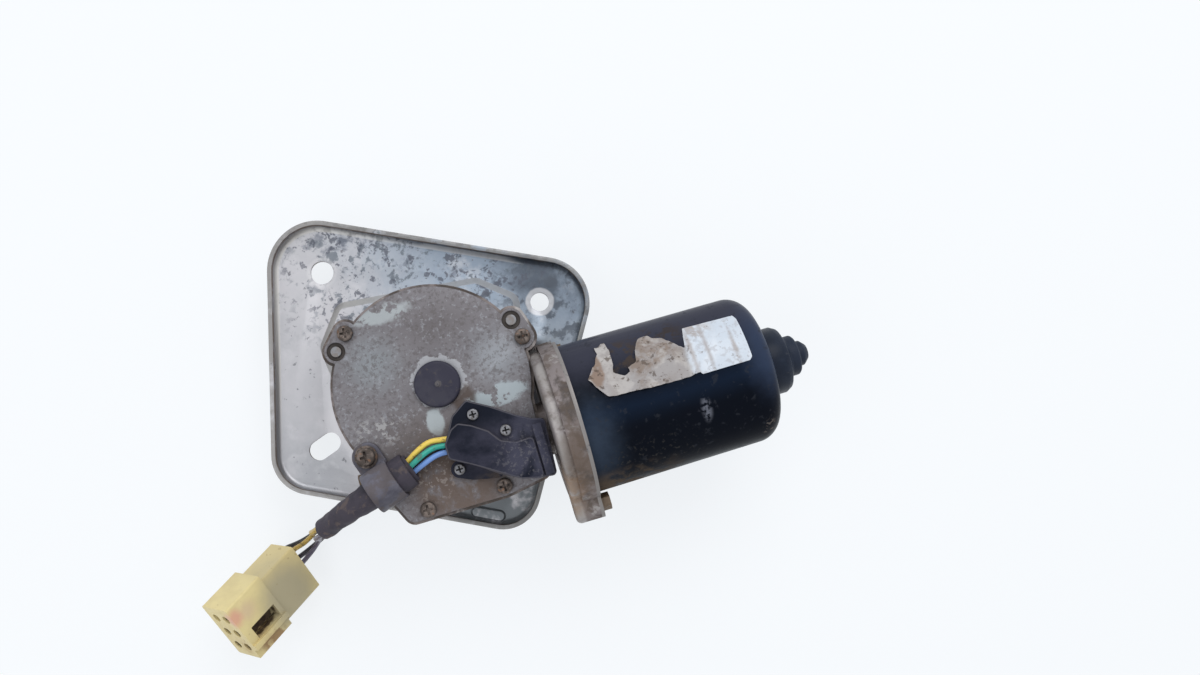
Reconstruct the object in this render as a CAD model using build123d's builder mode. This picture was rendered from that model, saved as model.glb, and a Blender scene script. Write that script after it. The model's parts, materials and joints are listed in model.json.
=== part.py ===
from build123d import *
import math
import os

# A two-speed wiper motor: a permanent-magnet motor drives a worm and wheel in a
# die-cast gearbox, which stands on three posts on a pressed-steel mounting plate.
# Frame: origin on the output-shaft axis at the plate's underside, +Z towards the
# gear cover, +X along the motor towards its closed end. All sizes in millimetres.

# ---- Driving dimensions ----------------------------------------------------------

# worm drive
module = 1.0
gear_teeth = 53
worm_pitch_r = 5.5
backlash = 0.25
gear_width = 8.0
worm_turns = 9
face_steps = [3, 2, 14, 2]
flank_angle = 20.0

# mounting plate
sheet_t = 2.0
rim_height = 7.0
rim_bend_r = 3.0
pad_rise = 4.0
plate_corners = [(-91.9, -22.3), (19.6, -78.6), (88.2, 34.5), (-57.2, 104.8)]
plate_corner_radii = [19.0, 18.0, 22.0, 24.0]
pad_corners = [(-45.0, -36.0), (-10.0, -54.0), (36.0, -36.0), (47.0, 33.0), (30.0, 47.0),
               (-38.0, 54.0), (-52.0, 36.0)]
pad_corner_r = 7.0
large_hole_place, large_hole_r = (-40.5, 70.2), 5.5
small_hole_place, small_hole_r = (55.7, 27.0), 4.45
slot_place, slot_width, slot_length, slot_turn = (-62.9, -10.1), 9.6, 16.3, 18.4
bead_place, bead_length, bead_width, bead_rise = (3.0, -63.5), 17.0, 6.0, 1.6
bead_turn = -26.8

# gearbox
motor_z = 38.0
floor_t = 3.0
headroom = 5.5
under_gear = 2.5
chamber_r = 38.0
chamber_x = -2.5
cover_r = 43.3
cover_t = 1.2
gasket_t = 0.5
ledge = 1.2
lobe_r = 5.2
tunnel_r = 8.0
tunnel_wall = 4.0
post_r = 6.5
post_places = [(-26.0, 24.0), (24.0, 24.0), (-18.0, -38.0)]
boss_r = 12.0
boss_gap = 0.6
cover_screw_places = [(-32.2, 32.6), (41.3, 9.3), (-19.3, -51.0), (15.4, -50.6)]
clamp_screw_place = (-38.4, -21.5)
pin_places = [(-38.3, 26.1), (38.6, 17.7)]
pin_r, pin_hole_r, pin_length = 2.4, 4.0, 7.0
toe_outline = [(-42.0, -12.0), (-41.0, -29.0), (-33.5, -43.0), (-28.0, -54.9), (15.4, -54.9),
               (36.0, -51.4), (37.5, -12.0)]
toe_corner_r = 4.0
cap_r, cap_rise, cap_hole_r = 10.2, 2.6, 9.0

# motor flange and yoke
flange_x = 41.4
flange_front_t = 4.8
flange_back_t = 6.5
flange_front_step = 0.4
flange_step = 2.4
flange_edge_round = 2.4
flange_clearance = 1.6
ear_r = 6.5
ear_step = 4.9
upper_ear_angle = -34.0
pocket_step, pocket_depth = 4.6, 5.5
yoke_r = 33.6
yoke_taper = 0.7
yoke_length = 86.6
yoke_wall = 2.0
yoke_corner_r = 10.0
yoke_flange_t = 1.6
nose_r, nose_length = 7.2, 7.5

# motor inside
shaft_r = 4.0
running_fit = 0.03
bearing_r = 6.0
magnet_t, magnet_start, magnet_length, magnet_arc = 6.0, 22.0, 48.0, 124.0
air_gap = 0.9
core_start, core_length, core_slots = 26.0, 40.0, 12
winding_overhang = 9.0
commutator_r, commutator_start, commutator_length, commutator_bars = 11.0, 1.0, 14.0, 12
brush_count = 3
brush_width, brush_height, brush_gap, brush_share = 5.0, 6.0, 0.15, 0.55
holder_wall = 0.8
brush_plate_t = 2.5

# output shaft
output_r = 6.0
output_stub = 7.0
cone_length, cone_end_r = 6.0, 5.2
thread_r, thread_length = 4.0, 7.0
serrations = 24
bush_wall = 2.0
bush_length = 11.0
circlip_t, circlip_r = 1.0, 8.5
washer_t = 0.8

# fasteners
m4_r, m4_head_r, m4_head_t, m4_length = 2.0, 3.5, 2.4, 11.0
m5_head_r, m5_washer_r, m5_washer_t = 4.0, 5.0, 1.0
m3_r, m3_head_r, m3_head_t = 1.4, 2.5, 1.7
m6_r, m6_hex_r, m6_hex_t, m6_length = 3.0, 5.5, 4.0, 16.0

# terminal cover
block_rise, plateau_rise = 8.4, 10.8
block_wall, corner_round, edge_round = 1.4, 2.0, 0.8
screw_tower_r = 3.4
block_outline = [(9.9, -10.3), (19.0, -15.6), (29.3, -22.8), (34.8, -25.8), (40.2, -27.2), (38.6, -52.2),
                 (31.4, -51.3), (23.5, -49.4), (15.2, -44.9), (5.5, -38.0), (-4.0, -32.6),
                 (-3.9, -26.0), (2.2, -15.4)]
plateau_outline = [(-3.9, -26.0), (0.4, -20.6), (3.9, -18.9), (9.4, -21.3), (15.6, -25.6), (19.6, -31.0),
                   (25.5, -33.5), (33.2, -33.2), (33.2, -51.8), (23.5, -49.4), (5.5, -38.0), (-4.0, -32.6)]
rib_x, rib_width = 35.9, 3.8
terminal_screw_places = [(11.2, -17.2), (22.8, -27.6)]
lug_screw_place, lug_r, lug_rise = (-1.1, -38.1), 3.8, 2.6
lug_roots = [(4.6, -40.6), (14.0, -42.6)]
head_room = 0.2
mouth_place, mouth_depth, mouth_width, mouth_height = (-3.0, -27.3), 7.0, 10.2, 5.3
board_t = 1.6

# harness
wire_r = 1.2
sleeve_r, sleeve_bore_r = 6.4, 4.8
collar_r, collar_length, collar_inset = 7.8, 18.0, 1.5
strap_t, strap_width, strap_inset, strap_foot, strap_round = 1.5, 13.0, 8.0, 20.9, 5.8
sleeve_route = [(-20.0, -31.3, 57.3), (-49.0, -40.6, 57.3), (-66.5, -46.4, 43.0)]
arc_share = 0.45
yellow_route = [(6.0, -25.2, 54.6), (-4.5, -23.7, 54.6), (-10.2, -22.8, 55.6), (-16.0, -25.2, 56.6),
                (-23.6, -29.9, 57.3), (-32.9, -33.0, 57.9), (-50.0, -38.7, 58.4), (-68.2, -45.2, 44.1),
                (-73.6, -46.7, 34.7), (-76.9, -47.1, 21.9), (-78.8, -47.6, 9.7), (-80.0, -48.1, 0.0),
                (-82.0, -49.1, -7.6), (-85.7, -50.9, -10.8), (-89.1, -52.6, -9.3), (-93.3, -53.6, -1.1),
                (-98.8, -57.3, 3.4)]
green_route = [(6.0, -27.8, 54.7), (-4.5, -26.4, 54.7), (-9.6, -25.9, 56.4), (-15.2, -28.0, 58.4),
               (-22.9, -32.2, 59.7), (-32.0, -35.8, 59.6), (-49.3, -41.9, 59.3), (-67.2, -48.4, 44.1),
               (-72.6, -49.9, 34.6), (-75.7, -50.4, 21.8), (-77.5, -51.1, 9.8), (-78.4, -51.7, 0.1),
               (-80.1, -52.7, -7.5), (-83.1, -54.8, -11.2), (-86.5, -57.6, -11.5), (-91.6, -61.4, -5.2),
               (-97.1, -65.1, -0.8)]
blue_route = [(6.0, -30.4, 54.6), (-4.5, -29.2, 54.6), (-8.9, -29.3, 56.0), (-14.4, -31.2, 57.0),
              (-22.2, -34.5, 57.3), (-31.5, -37.4, 56.7), (-48.0, -42.5, 56.2), (-64.8, -47.6, 41.9),
              (-69.6, -48.9, 33.3), (-72.5, -49.3, 21.1), (-74.1, -49.8, 9.3), (-75.0, -50.2, -0.6),
              (-76.9, -51.2, -9.4), (-81.7, -53.4, -15.2), (-89.0, -56.6, -16.6), (-97.3, -59.7, -10.9),
              (-102.8, -63.3, -6.4)]
black_route = [(6.0, -26.6, 52.0), (-4.5, -27.9, 52.0), (-8.8, -28.4, 52.9), (-14.6, -29.8, 54.2),
               (-22.9, -32.2, 54.9), (-32.4, -34.6, 55.0), (-48.7, -39.3, 55.3), (-65.8, -44.4, 41.9),
               (-70.6, -45.7, 33.4), (-73.7, -46.0, 21.2), (-75.5, -46.3, 9.3), (-76.6, -46.7, -0.7),
               (-78.9, -47.5, -9.6), (-84.3, -49.6, -14.8), (-91.5, -51.6, -14.3), (-99.0, -51.9, -6.7),
               (-104.5, -55.5, -2.2)]

# connector
rear_width, rear_height, rear_length = 26.0, 18.3, 22.5
front_width, front_height, front_length = 31.8, 20.7, 22.3
connector_heading, connector_pitch, connector_roll = 213.2, 34.0, -34.0
connector_place = (-95.1, -61.0, -7.5)
connector_round = 1.2
contact_r, contact_mouth_r = 2.3, 2.6
contact_columns, contact_column_pitch, contact_row_pitch = 3, 9.0, 8.2
terminal_inset, terminal_tip_inset, terminal_wall = 2.0, 6.0, 0.5
window_width, window_length, window_x, window_start = 7.0, 15.2, -3.4, 2.4
rail_x, rail_width, rail_rise = -8.6, 2.8, 1.4
step_x, step_drop = -10.6, 2.2

# ---- Derived places --------------------------------------------------------------

gear_pitch_r = gear_teeth * module / 2
motor_y = -(gear_pitch_r + worm_pitch_r)
lead = math.pi * module
lead_angle = math.degrees(math.atan2(lead, 2 * math.pi * worm_pitch_r))
tooth_width = lead / 2 - backlash
flank_slope = math.tan(math.radians(flank_angle))
gear_tip_r = gear_pitch_r + 0.9 * module
gear_root_r = gear_pitch_r - 1.25 * module
worm_tip_r = worm_pitch_r + module
worm_root_r = worm_pitch_r - 1.2 * module

pad_top = sheet_t + pad_rise
gear_bottom = motor_z - gear_width / 2
gear_top = motor_z + gear_width / 2
floor_top = gear_bottom - under_gear
floor_bottom = floor_top - floor_t
housing_top = gear_top + headroom
gasket_top = housing_top + gasket_t
cover_top = gasket_top + cover_t

flange_front_r = yoke_r + flange_front_step
flange_r = yoke_r + flange_step
ear_reach = yoke_r + ear_step
pocket_r = yoke_r - pocket_step
flange_split = flange_x + flange_front_t
yoke_x = flange_split + flange_back_t
yoke_end = yoke_x + yoke_length
pocket_x = yoke_x - pocket_depth
yoke_end_r = yoke_r - yoke_length * math.tan(math.radians(yoke_taper))
magnet_outer_r = yoke_end_r - yoke_wall
magnet_inner_r = magnet_outer_r - magnet_t
core_r = magnet_inner_r - air_gap
worm_half = worm_turns * lead / 2
worm_bush_start, worm_bush_end = -33.0, -25.0
ball_r = 2.5
shaft_tip = worm_bush_start
screw_bore_r = 4.0
thrust_screw_length = 8.0
tunnel_start = worm_bush_start - 2 * ball_r
shaft_end = yoke_end + nose_length - 0.6
bush_outer_r = output_r + bush_wall
circlip_z = pad_top - pad_rise - washer_t
boss_end = circlip_z + circlip_t + washer_t
shaft_top = gear_top + 1.5

upper_ear_turn = math.radians(upper_ear_angle)
ear_places = [(-ear_reach, 0), (ear_reach * math.cos(upper_ear_turn), ear_reach * math.sin(upper_ear_turn))]

motor_axis = Axis((0, motor_y, motor_z), (1, 0, 0))
motor_section_plane = Plane(origin=(0, motor_y, motor_z), x_dir=(1, 0, 0), z_dir=(0, -1, 0))
all_cover_screws = cover_screw_places + [clamp_screw_place]


def motor_plane(x):
    """A plane across the motor axis at x: its own x runs along +Y and its y along +Z."""
    return Plane(origin=(x, motor_y, motor_z), x_dir=(0, 1, 0), z_dir=(1, 0, 0))


def motor_section(*points):
    """A closed outline of (x, radius) points, to be revolved about the motor axis."""
    with BuildSketch(motor_section_plane) as section:
        with BuildLine():
            Polyline(*points, close=True)
        make_face()
    return section.sketch


def output_section(*points):
    """A closed outline of (radius, z) points, to be revolved about the output axis."""
    with BuildSketch(Plane.XZ) as section:
        with BuildLine():
            Polyline(*points, close=True)
        make_face()
    return section.sketch


def lug(radius, *places):
    """The hull of equal circles at the given places."""
    with BuildSketch() as outline:
        with Locations(*places):
            Circle(radius)
        make_hull()
    return outline.sketch


def rounded_polygon(corners, radii):
    """A polygon with one radius, or one radius for each corner."""
    with BuildSketch() as outline:
        with BuildLine():
            FilletPolyline(*corners, radius=radii, close=True)
        make_face()
    return outline.sketch


def cover_outline():
    """Plan of the gear cover: the round lid, its lobes and the toe over the worm."""
    with BuildSketch() as outline:
        with Locations((chamber_x, 0)):
            Circle(cover_r)
        add(rounded_polygon(toe_outline, toe_corner_r))
        for screw, pin in zip(cover_screw_places, pin_places):
            add(lug(lobe_r, screw, pin))
        add(lug(lobe_r, clamp_screw_place, (chamber_x, 0)))
    return outline.sketch


def flange_outline(disc_r, ears):
    """Motor flange across the motor axis: a disc with its ears, cut flat above the plate."""
    with BuildSketch() as outline:
        Circle(disc_r)
        for place in ears:
            add(lug(ear_r, (0, 0), place))
        with Locations((0, rim_height + flange_clearance - motor_z)):
            Rectangle(4 * disc_r, 2 * disc_r, align=(Align.CENTER, Align.MAX), mode=Mode.SUBTRACT)
    return outline.sketch


def pan_screw(shank_r, shank_length, head_r, head_t, washer_r=0.0, washer_t_=0.0):
    """A cross-recessed pan-head screw that points down, its head's seat at z = 0."""
    with BuildPart() as screw:
        with BuildSketch():
            Circle(head_r)
        extrude(amount=washer_t_ + head_t)
        fillet(screw.faces().sort_by(Axis.Z)[-1].edges(), head_t * 0.45)
        if washer_r:
            with BuildSketch():
                Circle(washer_r)
            extrude(amount=washer_t_)
        with BuildSketch():
            Circle(shank_r)
        extrude(amount=-shank_length)
        with BuildSketch(Plane.XY.offset(washer_t_ + head_t)):
            Rectangle(head_r * 1.25, head_r * 0.28)
            Rectangle(head_r * 0.28, head_r * 1.25)
        extrude(amount=-head_t * 0.6, mode=Mode.SUBTRACT)
    return screw.part


def hex_bolt(shank_r, shank_length, hex_r, hex_t):
    """A hexagon-head bolt that points up, its head below z = 0."""
    with BuildPart() as bolt:
        with BuildSketch():
            RegularPolygon(hex_r, 6)
        extrude(amount=-hex_t)
        with BuildSketch():
            Circle(shank_r)
        extrude(amount=shank_length)
    return bolt.part


def tube_path(points):
    """A route of straight runs and tangent arcs, each arc as large as its runs allow."""
    stops = [Vector(*point) for point in points]
    radii = []
    for before, corner, after in zip(stops, stops[1:], stops[2:]):
        turn = math.radians((corner - before).get_angle(after - corner))
        run = min((corner - before).length, (after - corner).length)
        radii.append(arc_share * run / math.tan(turn / 2))
    return FilletPolyline(*stops, radius=radii, mode=Mode.PRIVATE), radii


def cord_tube(points, outer_r, bore_r=0.0):
    """A round cord or sleeve along a route."""
    path, radii = tube_path(points)
    with BuildPart() as tube:
        with BuildSketch(Plane(origin=path @ 0, z_dir=path % 0)):
            Circle(outer_r)
            if bore_r:
                Circle(bore_r, mode=Mode.SUBTRACT)
        sweep(path=path)
    area = math.pi * (outer_r ** 2 - bore_r ** 2)
    print("cord radii", [round(radius, 1) for radius in radii],
          "volume / section x length", round(tube.part.volume / (area * path.length), 4))
    return tube


# ---- Mounting plate --------------------------------------------------------------

with BuildPart() as mounting_plate:
    with BuildSketch():
        add(rounded_polygon(plate_corners, plate_corner_radii))
    extrude(amount=rim_height)
    fillet(mounting_plate.faces().sort_by(Axis.Z)[0].edges(), rim_bend_r + sheet_t)
    offset(amount=-sheet_t, openings=mounting_plate.faces().sort_by(Axis.Z)[-1])
    with BuildSketch(Plane.XY.offset(sheet_t)):
        add(rounded_polygon(pad_corners, pad_corner_r))
    extrude(amount=pad_rise, taper=40)
    with BuildSketch():
        add(rounded_polygon(pad_corners, pad_corner_r))
        offset(amount=-sheet_t * 0.5, mode=Mode.REPLACE)
    extrude(amount=pad_rise, taper=40, mode=Mode.SUBTRACT)
    with BuildSketch(Plane.XY.offset(sheet_t)):
        with Locations(Location((*bead_place, 0), (0, 0, bead_turn))):
            SlotOverall(bead_length, bead_width)
    extrude(amount=bead_rise, taper=30)
    with Locations((*large_hole_place, sheet_t)):
        Hole(large_hole_r, depth=2 * sheet_t)
    with Locations((*small_hole_place, sheet_t)):
        Hole(small_hole_r, depth=2 * sheet_t)
    with BuildSketch():
        with Locations(Location((*slot_place, 0), (0, 0, slot_turn))):
            SlotOverall(slot_length, slot_width)
        Circle(boss_r + boss_gap)
        with Locations(*post_places):
            Circle(m6_r + 0.3)
    extrude(amount=2 * pad_top, mode=Mode.SUBTRACT)

# ---- Gearbox ---------------------------------------------------------------------

with BuildPart() as flange_front:
    with BuildSketch(motor_plane(flange_x)):
        add(flange_outline(flange_front_r, ear_places[:1]))
    extrude(amount=flange_front_t)
    fillet(flange_front.faces().sort_by(Axis.X)[0].edges(), flange_edge_round)

with BuildPart() as gear_housing:
    with BuildSketch(Plane.XY.offset(floor_bottom)):
        add(cover_outline())
        offset(amount=ledge, mode=Mode.REPLACE)
    extrude(amount=housing_top - floor_bottom)
    with BuildSketch(motor_plane(tunnel_start)):
        Circle(tunnel_r + tunnel_wall)
        with Locations((0, housing_top - motor_z)):
            Rectangle(4 * tunnel_r, 4 * tunnel_r, align=(Align.CENTER, Align.MIN), mode=Mode.SUBTRACT)
    extrude(amount=flange_x - tunnel_start)
    add(flange_front.part)
    with BuildSketch(motor_plane(flange_split)):
        add(flange_outline(flange_r, ear_places))
    extrude(amount=flange_back_t)
    with BuildSketch(Plane.XY.offset(pad_top)):
        with Locations(*post_places):
            Circle(post_r)
    extrude(amount=floor_bottom - pad_top + floor_t)
    with BuildSketch(Plane.XY.offset(boss_end)):
        Circle(boss_r)
    extrude(amount=floor_top - boss_end)
    with BuildSketch(Plane.XY.offset(floor_top)):
        with Locations((chamber_x, 0)):
            Circle(chamber_r)
    extrude(amount=housing_top - floor_top, mode=Mode.SUBTRACT)
    revolve(motor_section((worm_bush_start, 0), (worm_bush_start, bearing_r), (worm_bush_end, bearing_r),
           (worm_bush_end, tunnel_r), (pocket_x, tunnel_r), (pocket_x, pocket_r),
           (yoke_x, pocket_r), (yoke_x, 0)), axis=motor_axis, mode=Mode.SUBTRACT)
    with BuildSketch(motor_plane(worm_bush_start)):
        Circle(screw_bore_r)
    extrude(amount=-2 * thrust_screw_length, mode=Mode.SUBTRACT)
    with BuildSketch(Plane.XY.offset(boss_end)):
        Circle(bush_outer_r)
    extrude(amount=floor_top - boss_end, mode=Mode.SUBTRACT)
    with BuildSketch(Plane.XY.offset(housing_top)):
        with Locations(*all_cover_screws):
            Circle(m4_r)
    extrude(amount=-m4_length, mode=Mode.SUBTRACT)
    with BuildSketch(Plane.XY.offset(housing_top)):
        with Locations(*pin_places):
            Circle(pin_r)
    extrude(amount=cover_top - housing_top - pin_length, mode=Mode.SUBTRACT)
    with BuildSketch(Plane.XY.offset(pad_top)):
        with Locations(*post_places):
            Circle(m6_r)
    extrude(amount=m6_length - sheet_t, mode=Mode.SUBTRACT)
    with BuildSketch(motor_plane(flange_x)):
        with Locations(*ear_places):
            Circle(m6_r)
    extrude(amount=flange_front_t + flange_back_t, mode=Mode.SUBTRACT)

with BuildPart() as cover_gasket:
    with BuildSketch(Plane.XY.offset(housing_top)):
        add(cover_outline())
        with Locations((chamber_x, 0)):
            Circle(chamber_r, mode=Mode.SUBTRACT)
        with Locations(*all_cover_screws):
            Circle(m4_r + 0.2, mode=Mode.SUBTRACT)
        with Locations(*pin_places):
            Circle(pin_r + 0.2, mode=Mode.SUBTRACT)
    extrude(amount=gasket_t)

with BuildPart() as gear_cover:
    with BuildSketch(Plane.XY.offset(gasket_top)):
        add(cover_outline())
    extrude(amount=cover_t)
    with BuildSketch(Plane.XY.offset(gasket_top)):
        Circle(cap_hole_r)
        with Locations(*all_cover_screws):
            Circle(m4_r + 0.2)
        with Locations(*pin_places):
            Circle(pin_hole_r)
    extrude(amount=cover_t, mode=Mode.SUBTRACT)

with BuildPart() as cover_cap:
    with BuildSketch(Plane.XY.offset(cover_top)):
        Circle(cap_r)
    extrude(amount=cap_rise)
    fillet(cover_cap.faces().sort_by(Axis.Z)[-1].edges(), cap_rise * 0.5)
    with BuildSketch(Plane.XY.offset(cover_top)):
        Circle(cap_hole_r)
        Circle(cap_hole_r - 1.5, mode=Mode.SUBTRACT)
    extrude(amount=-cover_t)
    with BuildSketch(Plane.XY.offset(cover_top + cap_rise)):
        Circle(1.2)
    extrude(amount=0.5)

with BuildPart() as cover_screws:
    with Locations(*[(*place, cover_top) for place in cover_screw_places]):
        add(pan_screw(m4_r, m4_length, m4_head_r, m4_head_t))

with BuildPart() as clamp_screw:
    with Locations((*clamp_screw_place, cover_top + strap_t)):
        add(pan_screw(m4_r, m4_length, m5_head_r, m4_head_t, m5_washer_r, m5_washer_t))

with BuildPart() as locating_pins:
    with BuildSketch(Plane.XY.offset(cover_top + 0.3)):
        with Locations(*pin_places):
            Circle(pin_r)
    extrude(amount=-pin_length)
    fillet(locating_pins.edges().group_by(Axis.Z)[-1], 0.4)

with BuildPart() as plate_bolts:
    with Locations(*[(*place, pad_rise) for place in post_places]):
        add(hex_bolt(m6_r, m6_length, m6_hex_r, m6_hex_t))

# ---- Worm wheel and output shaft -------------------------------------------------


def gear_profile():
    """Plan of the worm wheel's teeth, one of them centred on -Y before the twist."""
    half = [(gear_root_r, tooth_width / 2 + (gear_pitch_r - gear_root_r) * flank_slope),
            (gear_tip_r, tooth_width / 2 - (gear_tip_r - gear_pitch_r) * flank_slope)]
    corners = []
    for tooth in range(gear_teeth):
        middle = math.radians(-90 + 360 * tooth / gear_teeth)
        for side, ends in ((-1, half), (1, reversed(half))):
            for radius, width in ends:
                angle = middle + side * width / radius
                corners.append((radius * math.cos(angle), radius * math.sin(angle)))
    return corners


def twisted_rim():
    """The toothed blank, its teeth twisted to lie along the worm's thread."""
    twist = math.degrees(gear_width * math.tan(math.radians(lead_angle)) / gear_pitch_r)
    with BuildSketch(Plane.XY.offset(gear_bottom)) as teeth:
        with BuildLine():
            Polyline(*gear_profile(), close=True)
        make_face()
    start = teeth.sketch.faces()[0].rotate(Axis.Z, -twist / 2)
    return Solid.extrude_linear_with_rotation(start, (0, 0, gear_bottom), (0, 0, gear_width), twist)


hub_r = 10.0
web_relief_r = gear_root_r - 3.5
web_relief = 1.5
cam_t = 0.8
cam_z = gear_top
cam_outer_r, cam_inner_r = 22.0, 13.0

with BuildPart() as gear_wheel:
    add(twisted_rim())
    with BuildSketch(Plane.XY.offset(gear_bottom)):
        Circle(web_relief_r)
        Circle(hub_r, mode=Mode.SUBTRACT)
    extrude(amount=web_relief, mode=Mode.SUBTRACT)
    with BuildSketch(Plane.XY.offset(floor_top + washer_t + 0.2)):
        Circle(hub_r)
    extrude(amount=gear_width / 2)
    with BuildSketch(Plane.XY.offset(floor_top)):
        Circle(output_r)
    extrude(amount=gear_top - floor_top, mode=Mode.SUBTRACT)

with BuildPart() as thrust_washer:
    revolve(output_section((output_r + 0.1, floor_top + 0.1), (hub_r, floor_top + 0.1),
           (hub_r, floor_top + 0.1 + washer_t), (output_r + 0.1, floor_top + 0.1 + washer_t)), axis=Axis.Z)

with BuildPart() as park_cam_disc:
    with BuildSketch(Plane.XY.offset(cam_z)):
        Circle(cam_outer_r)
        Circle(cam_inner_r, mode=Mode.SUBTRACT)
        with PolarLocations(cam_outer_r - 1.5, 1, start_angle=150):
            Rectangle(7.0, 12.0, mode=Mode.SUBTRACT)
    extrude(amount=cam_t)

groove_r = output_r - 0.8
stub_end = -output_stub
cone_end = stub_end - cone_length
thread_end = cone_end - thread_length

with BuildPart() as output_shaft:
    revolve(output_section((0, shaft_top), (output_r, shaft_top), (output_r, circlip_z + circlip_t),
           (groove_r, circlip_z + circlip_t), (groove_r, circlip_z), (output_r, circlip_z),
           (output_r, stub_end),
           (cone_end_r, cone_end), (thread_r, cone_end), (thread_r, thread_end + 0.6),
           (thread_r - 0.6, thread_end), (0, thread_end)), axis=Axis.Z)
    with BuildSketch(Plane.XY.offset(cone_end)):
        with PolarLocations(output_r, serrations):
            Circle(0.45)
    extrude(amount=cone_length - 0.5, mode=Mode.SUBTRACT)

with BuildPart() as output_circlip:
    with BuildSketch(Plane.XY.offset(circlip_z + 0.05)):
        Circle(circlip_r)
        Circle(groove_r, mode=Mode.SUBTRACT)
        with Locations((circlip_r, 0)):
            Rectangle(2 * circlip_r, 4.0, mode=Mode.SUBTRACT)
    extrude(amount=circlip_t - 0.1)

with BuildPart() as boss_washer:
    with BuildSketch(Plane.XY.offset(circlip_z + circlip_t)):
        Circle(boss_r - 1.5)
        Circle(output_r + 0.1, mode=Mode.SUBTRACT)
    extrude(amount=washer_t)

with BuildPart() as output_bushes:
    for start in (boss_end, floor_top - bush_length):
        with BuildSketch(Plane.XY.offset(start)):
            Circle(bush_outer_r)
            Circle(output_r + running_fit, mode=Mode.SUBTRACT)
        extrude(amount=bush_length)

seal_start = boss_end + bush_length
seal_end = floor_top - bush_length

with BuildPart() as shaft_seal:
    with BuildSketch(Plane.XY.offset(seal_start)):
        Circle(bush_outer_r)
        Circle(output_r + 0.1, mode=Mode.SUBTRACT)
    extrude(amount=seal_end - seal_start)

# ---- Park switch under the cover -------------------------------------------------

carrier_size = (22.0, 10.0)
carrier_place = (16.0, 10.0)
carrier_t = 2.0
finger_width, finger_t = 3.0, 0.4
finger_places = [-7.0, 0.0, 7.0]
finger_gap = 0.25

with BuildPart() as contact_carrier:
    with BuildSketch(Plane.XY.offset(gasket_top)):
        with Locations(carrier_place):
            Rectangle(*carrier_size)
    extrude(amount=-carrier_t)

with BuildPart() as park_contacts:
    finger_top = gasket_top - carrier_t
    finger_low = cam_z + cam_t + finger_gap
    for shift in finger_places:
        x = carrier_place[0] + shift
        with BuildSketch(Plane(origin=(x, carrier_place[1], 0), x_dir=(0, 1, 0), z_dir=(1, 0, 0))):
            with BuildLine():
                Polyline((4.0, finger_top), (-4.0, finger_top), (-12.0, finger_low + finger_t),
                         (-14.0, finger_low + finger_t), (-14.0, finger_low), (-12.2, finger_low),
                         (-4.2, finger_top - finger_t), (4.0, finger_top - finger_t), close=True)
            make_face()
        extrude(amount=finger_width / 2, both=True)

# ---- Motor -----------------------------------------------------------------------

commutator_x = yoke_x + commutator_start
core_x = yoke_x + core_start
core_end = core_x + core_length


def thread_spot(radius, along):
    """The place on a cross-section of the worm that lies this far along the thread's axis."""
    angle = 2 * math.pi * along / lead
    return radius * math.cos(angle), radius * math.sin(angle)


def thread_run(start, end, steps):
    """Places along one face of the thread's section, from (radius, along) up to the next face."""
    shares = [step / steps for step in range(steps)]
    return [thread_spot(start[0] + (end[0] - start[0]) * share, start[1] + (end[1] - start[1]) * share)
            for share in shares]


def worm_thread():
    """The threaded length of the worm, its thread on the +Y side at both ends."""
    root_half = tooth_width / 2 + (worm_pitch_r - worm_root_r) * flank_slope
    tip_half = tooth_width / 2 - (worm_tip_r - worm_pitch_r) * flank_slope
    stops = [(worm_tip_r, -tip_half), (worm_tip_r, tip_half), (worm_root_r, root_half),
             (worm_root_r, lead - root_half), (worm_tip_r, lead - tip_half)]
    outline = []
    for start, end, steps in zip(stops, stops[1:], face_steps):
        outline += thread_run(start, end, steps)
    with BuildSketch(motor_plane(-worm_half)) as section:
        with BuildLine():
            Polyline(*outline, close=True)
        make_face()
    return Solid.extrude_linear_with_rotation(
        section.sketch.faces()[0], (-worm_half, motor_y, motor_z), (2 * worm_half, 0, 0), 360 * worm_turns)


with BuildPart() as armature_shaft:
    add(worm_thread())
    revolve(motor_section((shaft_tip, 0), (shaft_tip, shaft_r), (-worm_half, shaft_r), (-worm_half, 0)),
            axis=motor_axis)
    revolve(motor_section((worm_half, 0), (worm_half, shaft_r), (shaft_end, shaft_r), (shaft_end, 0)),
            axis=motor_axis)

with BuildPart() as armature_core:
    with BuildSketch(motor_plane(core_x)):
        Circle(core_r)
        Circle(shaft_r, mode=Mode.SUBTRACT)
        with PolarLocations(core_r, core_slots):
            Rectangle(6.0, 2.0, mode=Mode.SUBTRACT)
        with PolarLocations(core_r - 6.0, core_slots):
            Circle(3.4, mode=Mode.SUBTRACT)
    extrude(amount=core_length)

winding_inner_r, winding_outer_r = shaft_r + 3.0, core_r - 2.2

with BuildPart() as armature_windings:
    for start, length in ((core_x - winding_overhang, winding_overhang), (core_end, winding_overhang)):
        with BuildSketch(motor_plane(start)):
            Circle(winding_outer_r)
            Circle(winding_inner_r, mode=Mode.SUBTRACT)
        extrude(amount=length)
    with BuildSketch(motor_plane(core_x)):
        with PolarLocations(core_r - 6.0, core_slots):
            Circle(3.3)
    extrude(amount=core_length)

with BuildPart() as commutator:
    with BuildSketch(motor_plane(commutator_x)):
        Circle(commutator_r)
        Circle(shaft_r, mode=Mode.SUBTRACT)
        with PolarLocations(commutator_r, commutator_bars):
            Rectangle(1.6, 0.6, mode=Mode.SUBTRACT)
    extrude(amount=commutator_length)

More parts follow.
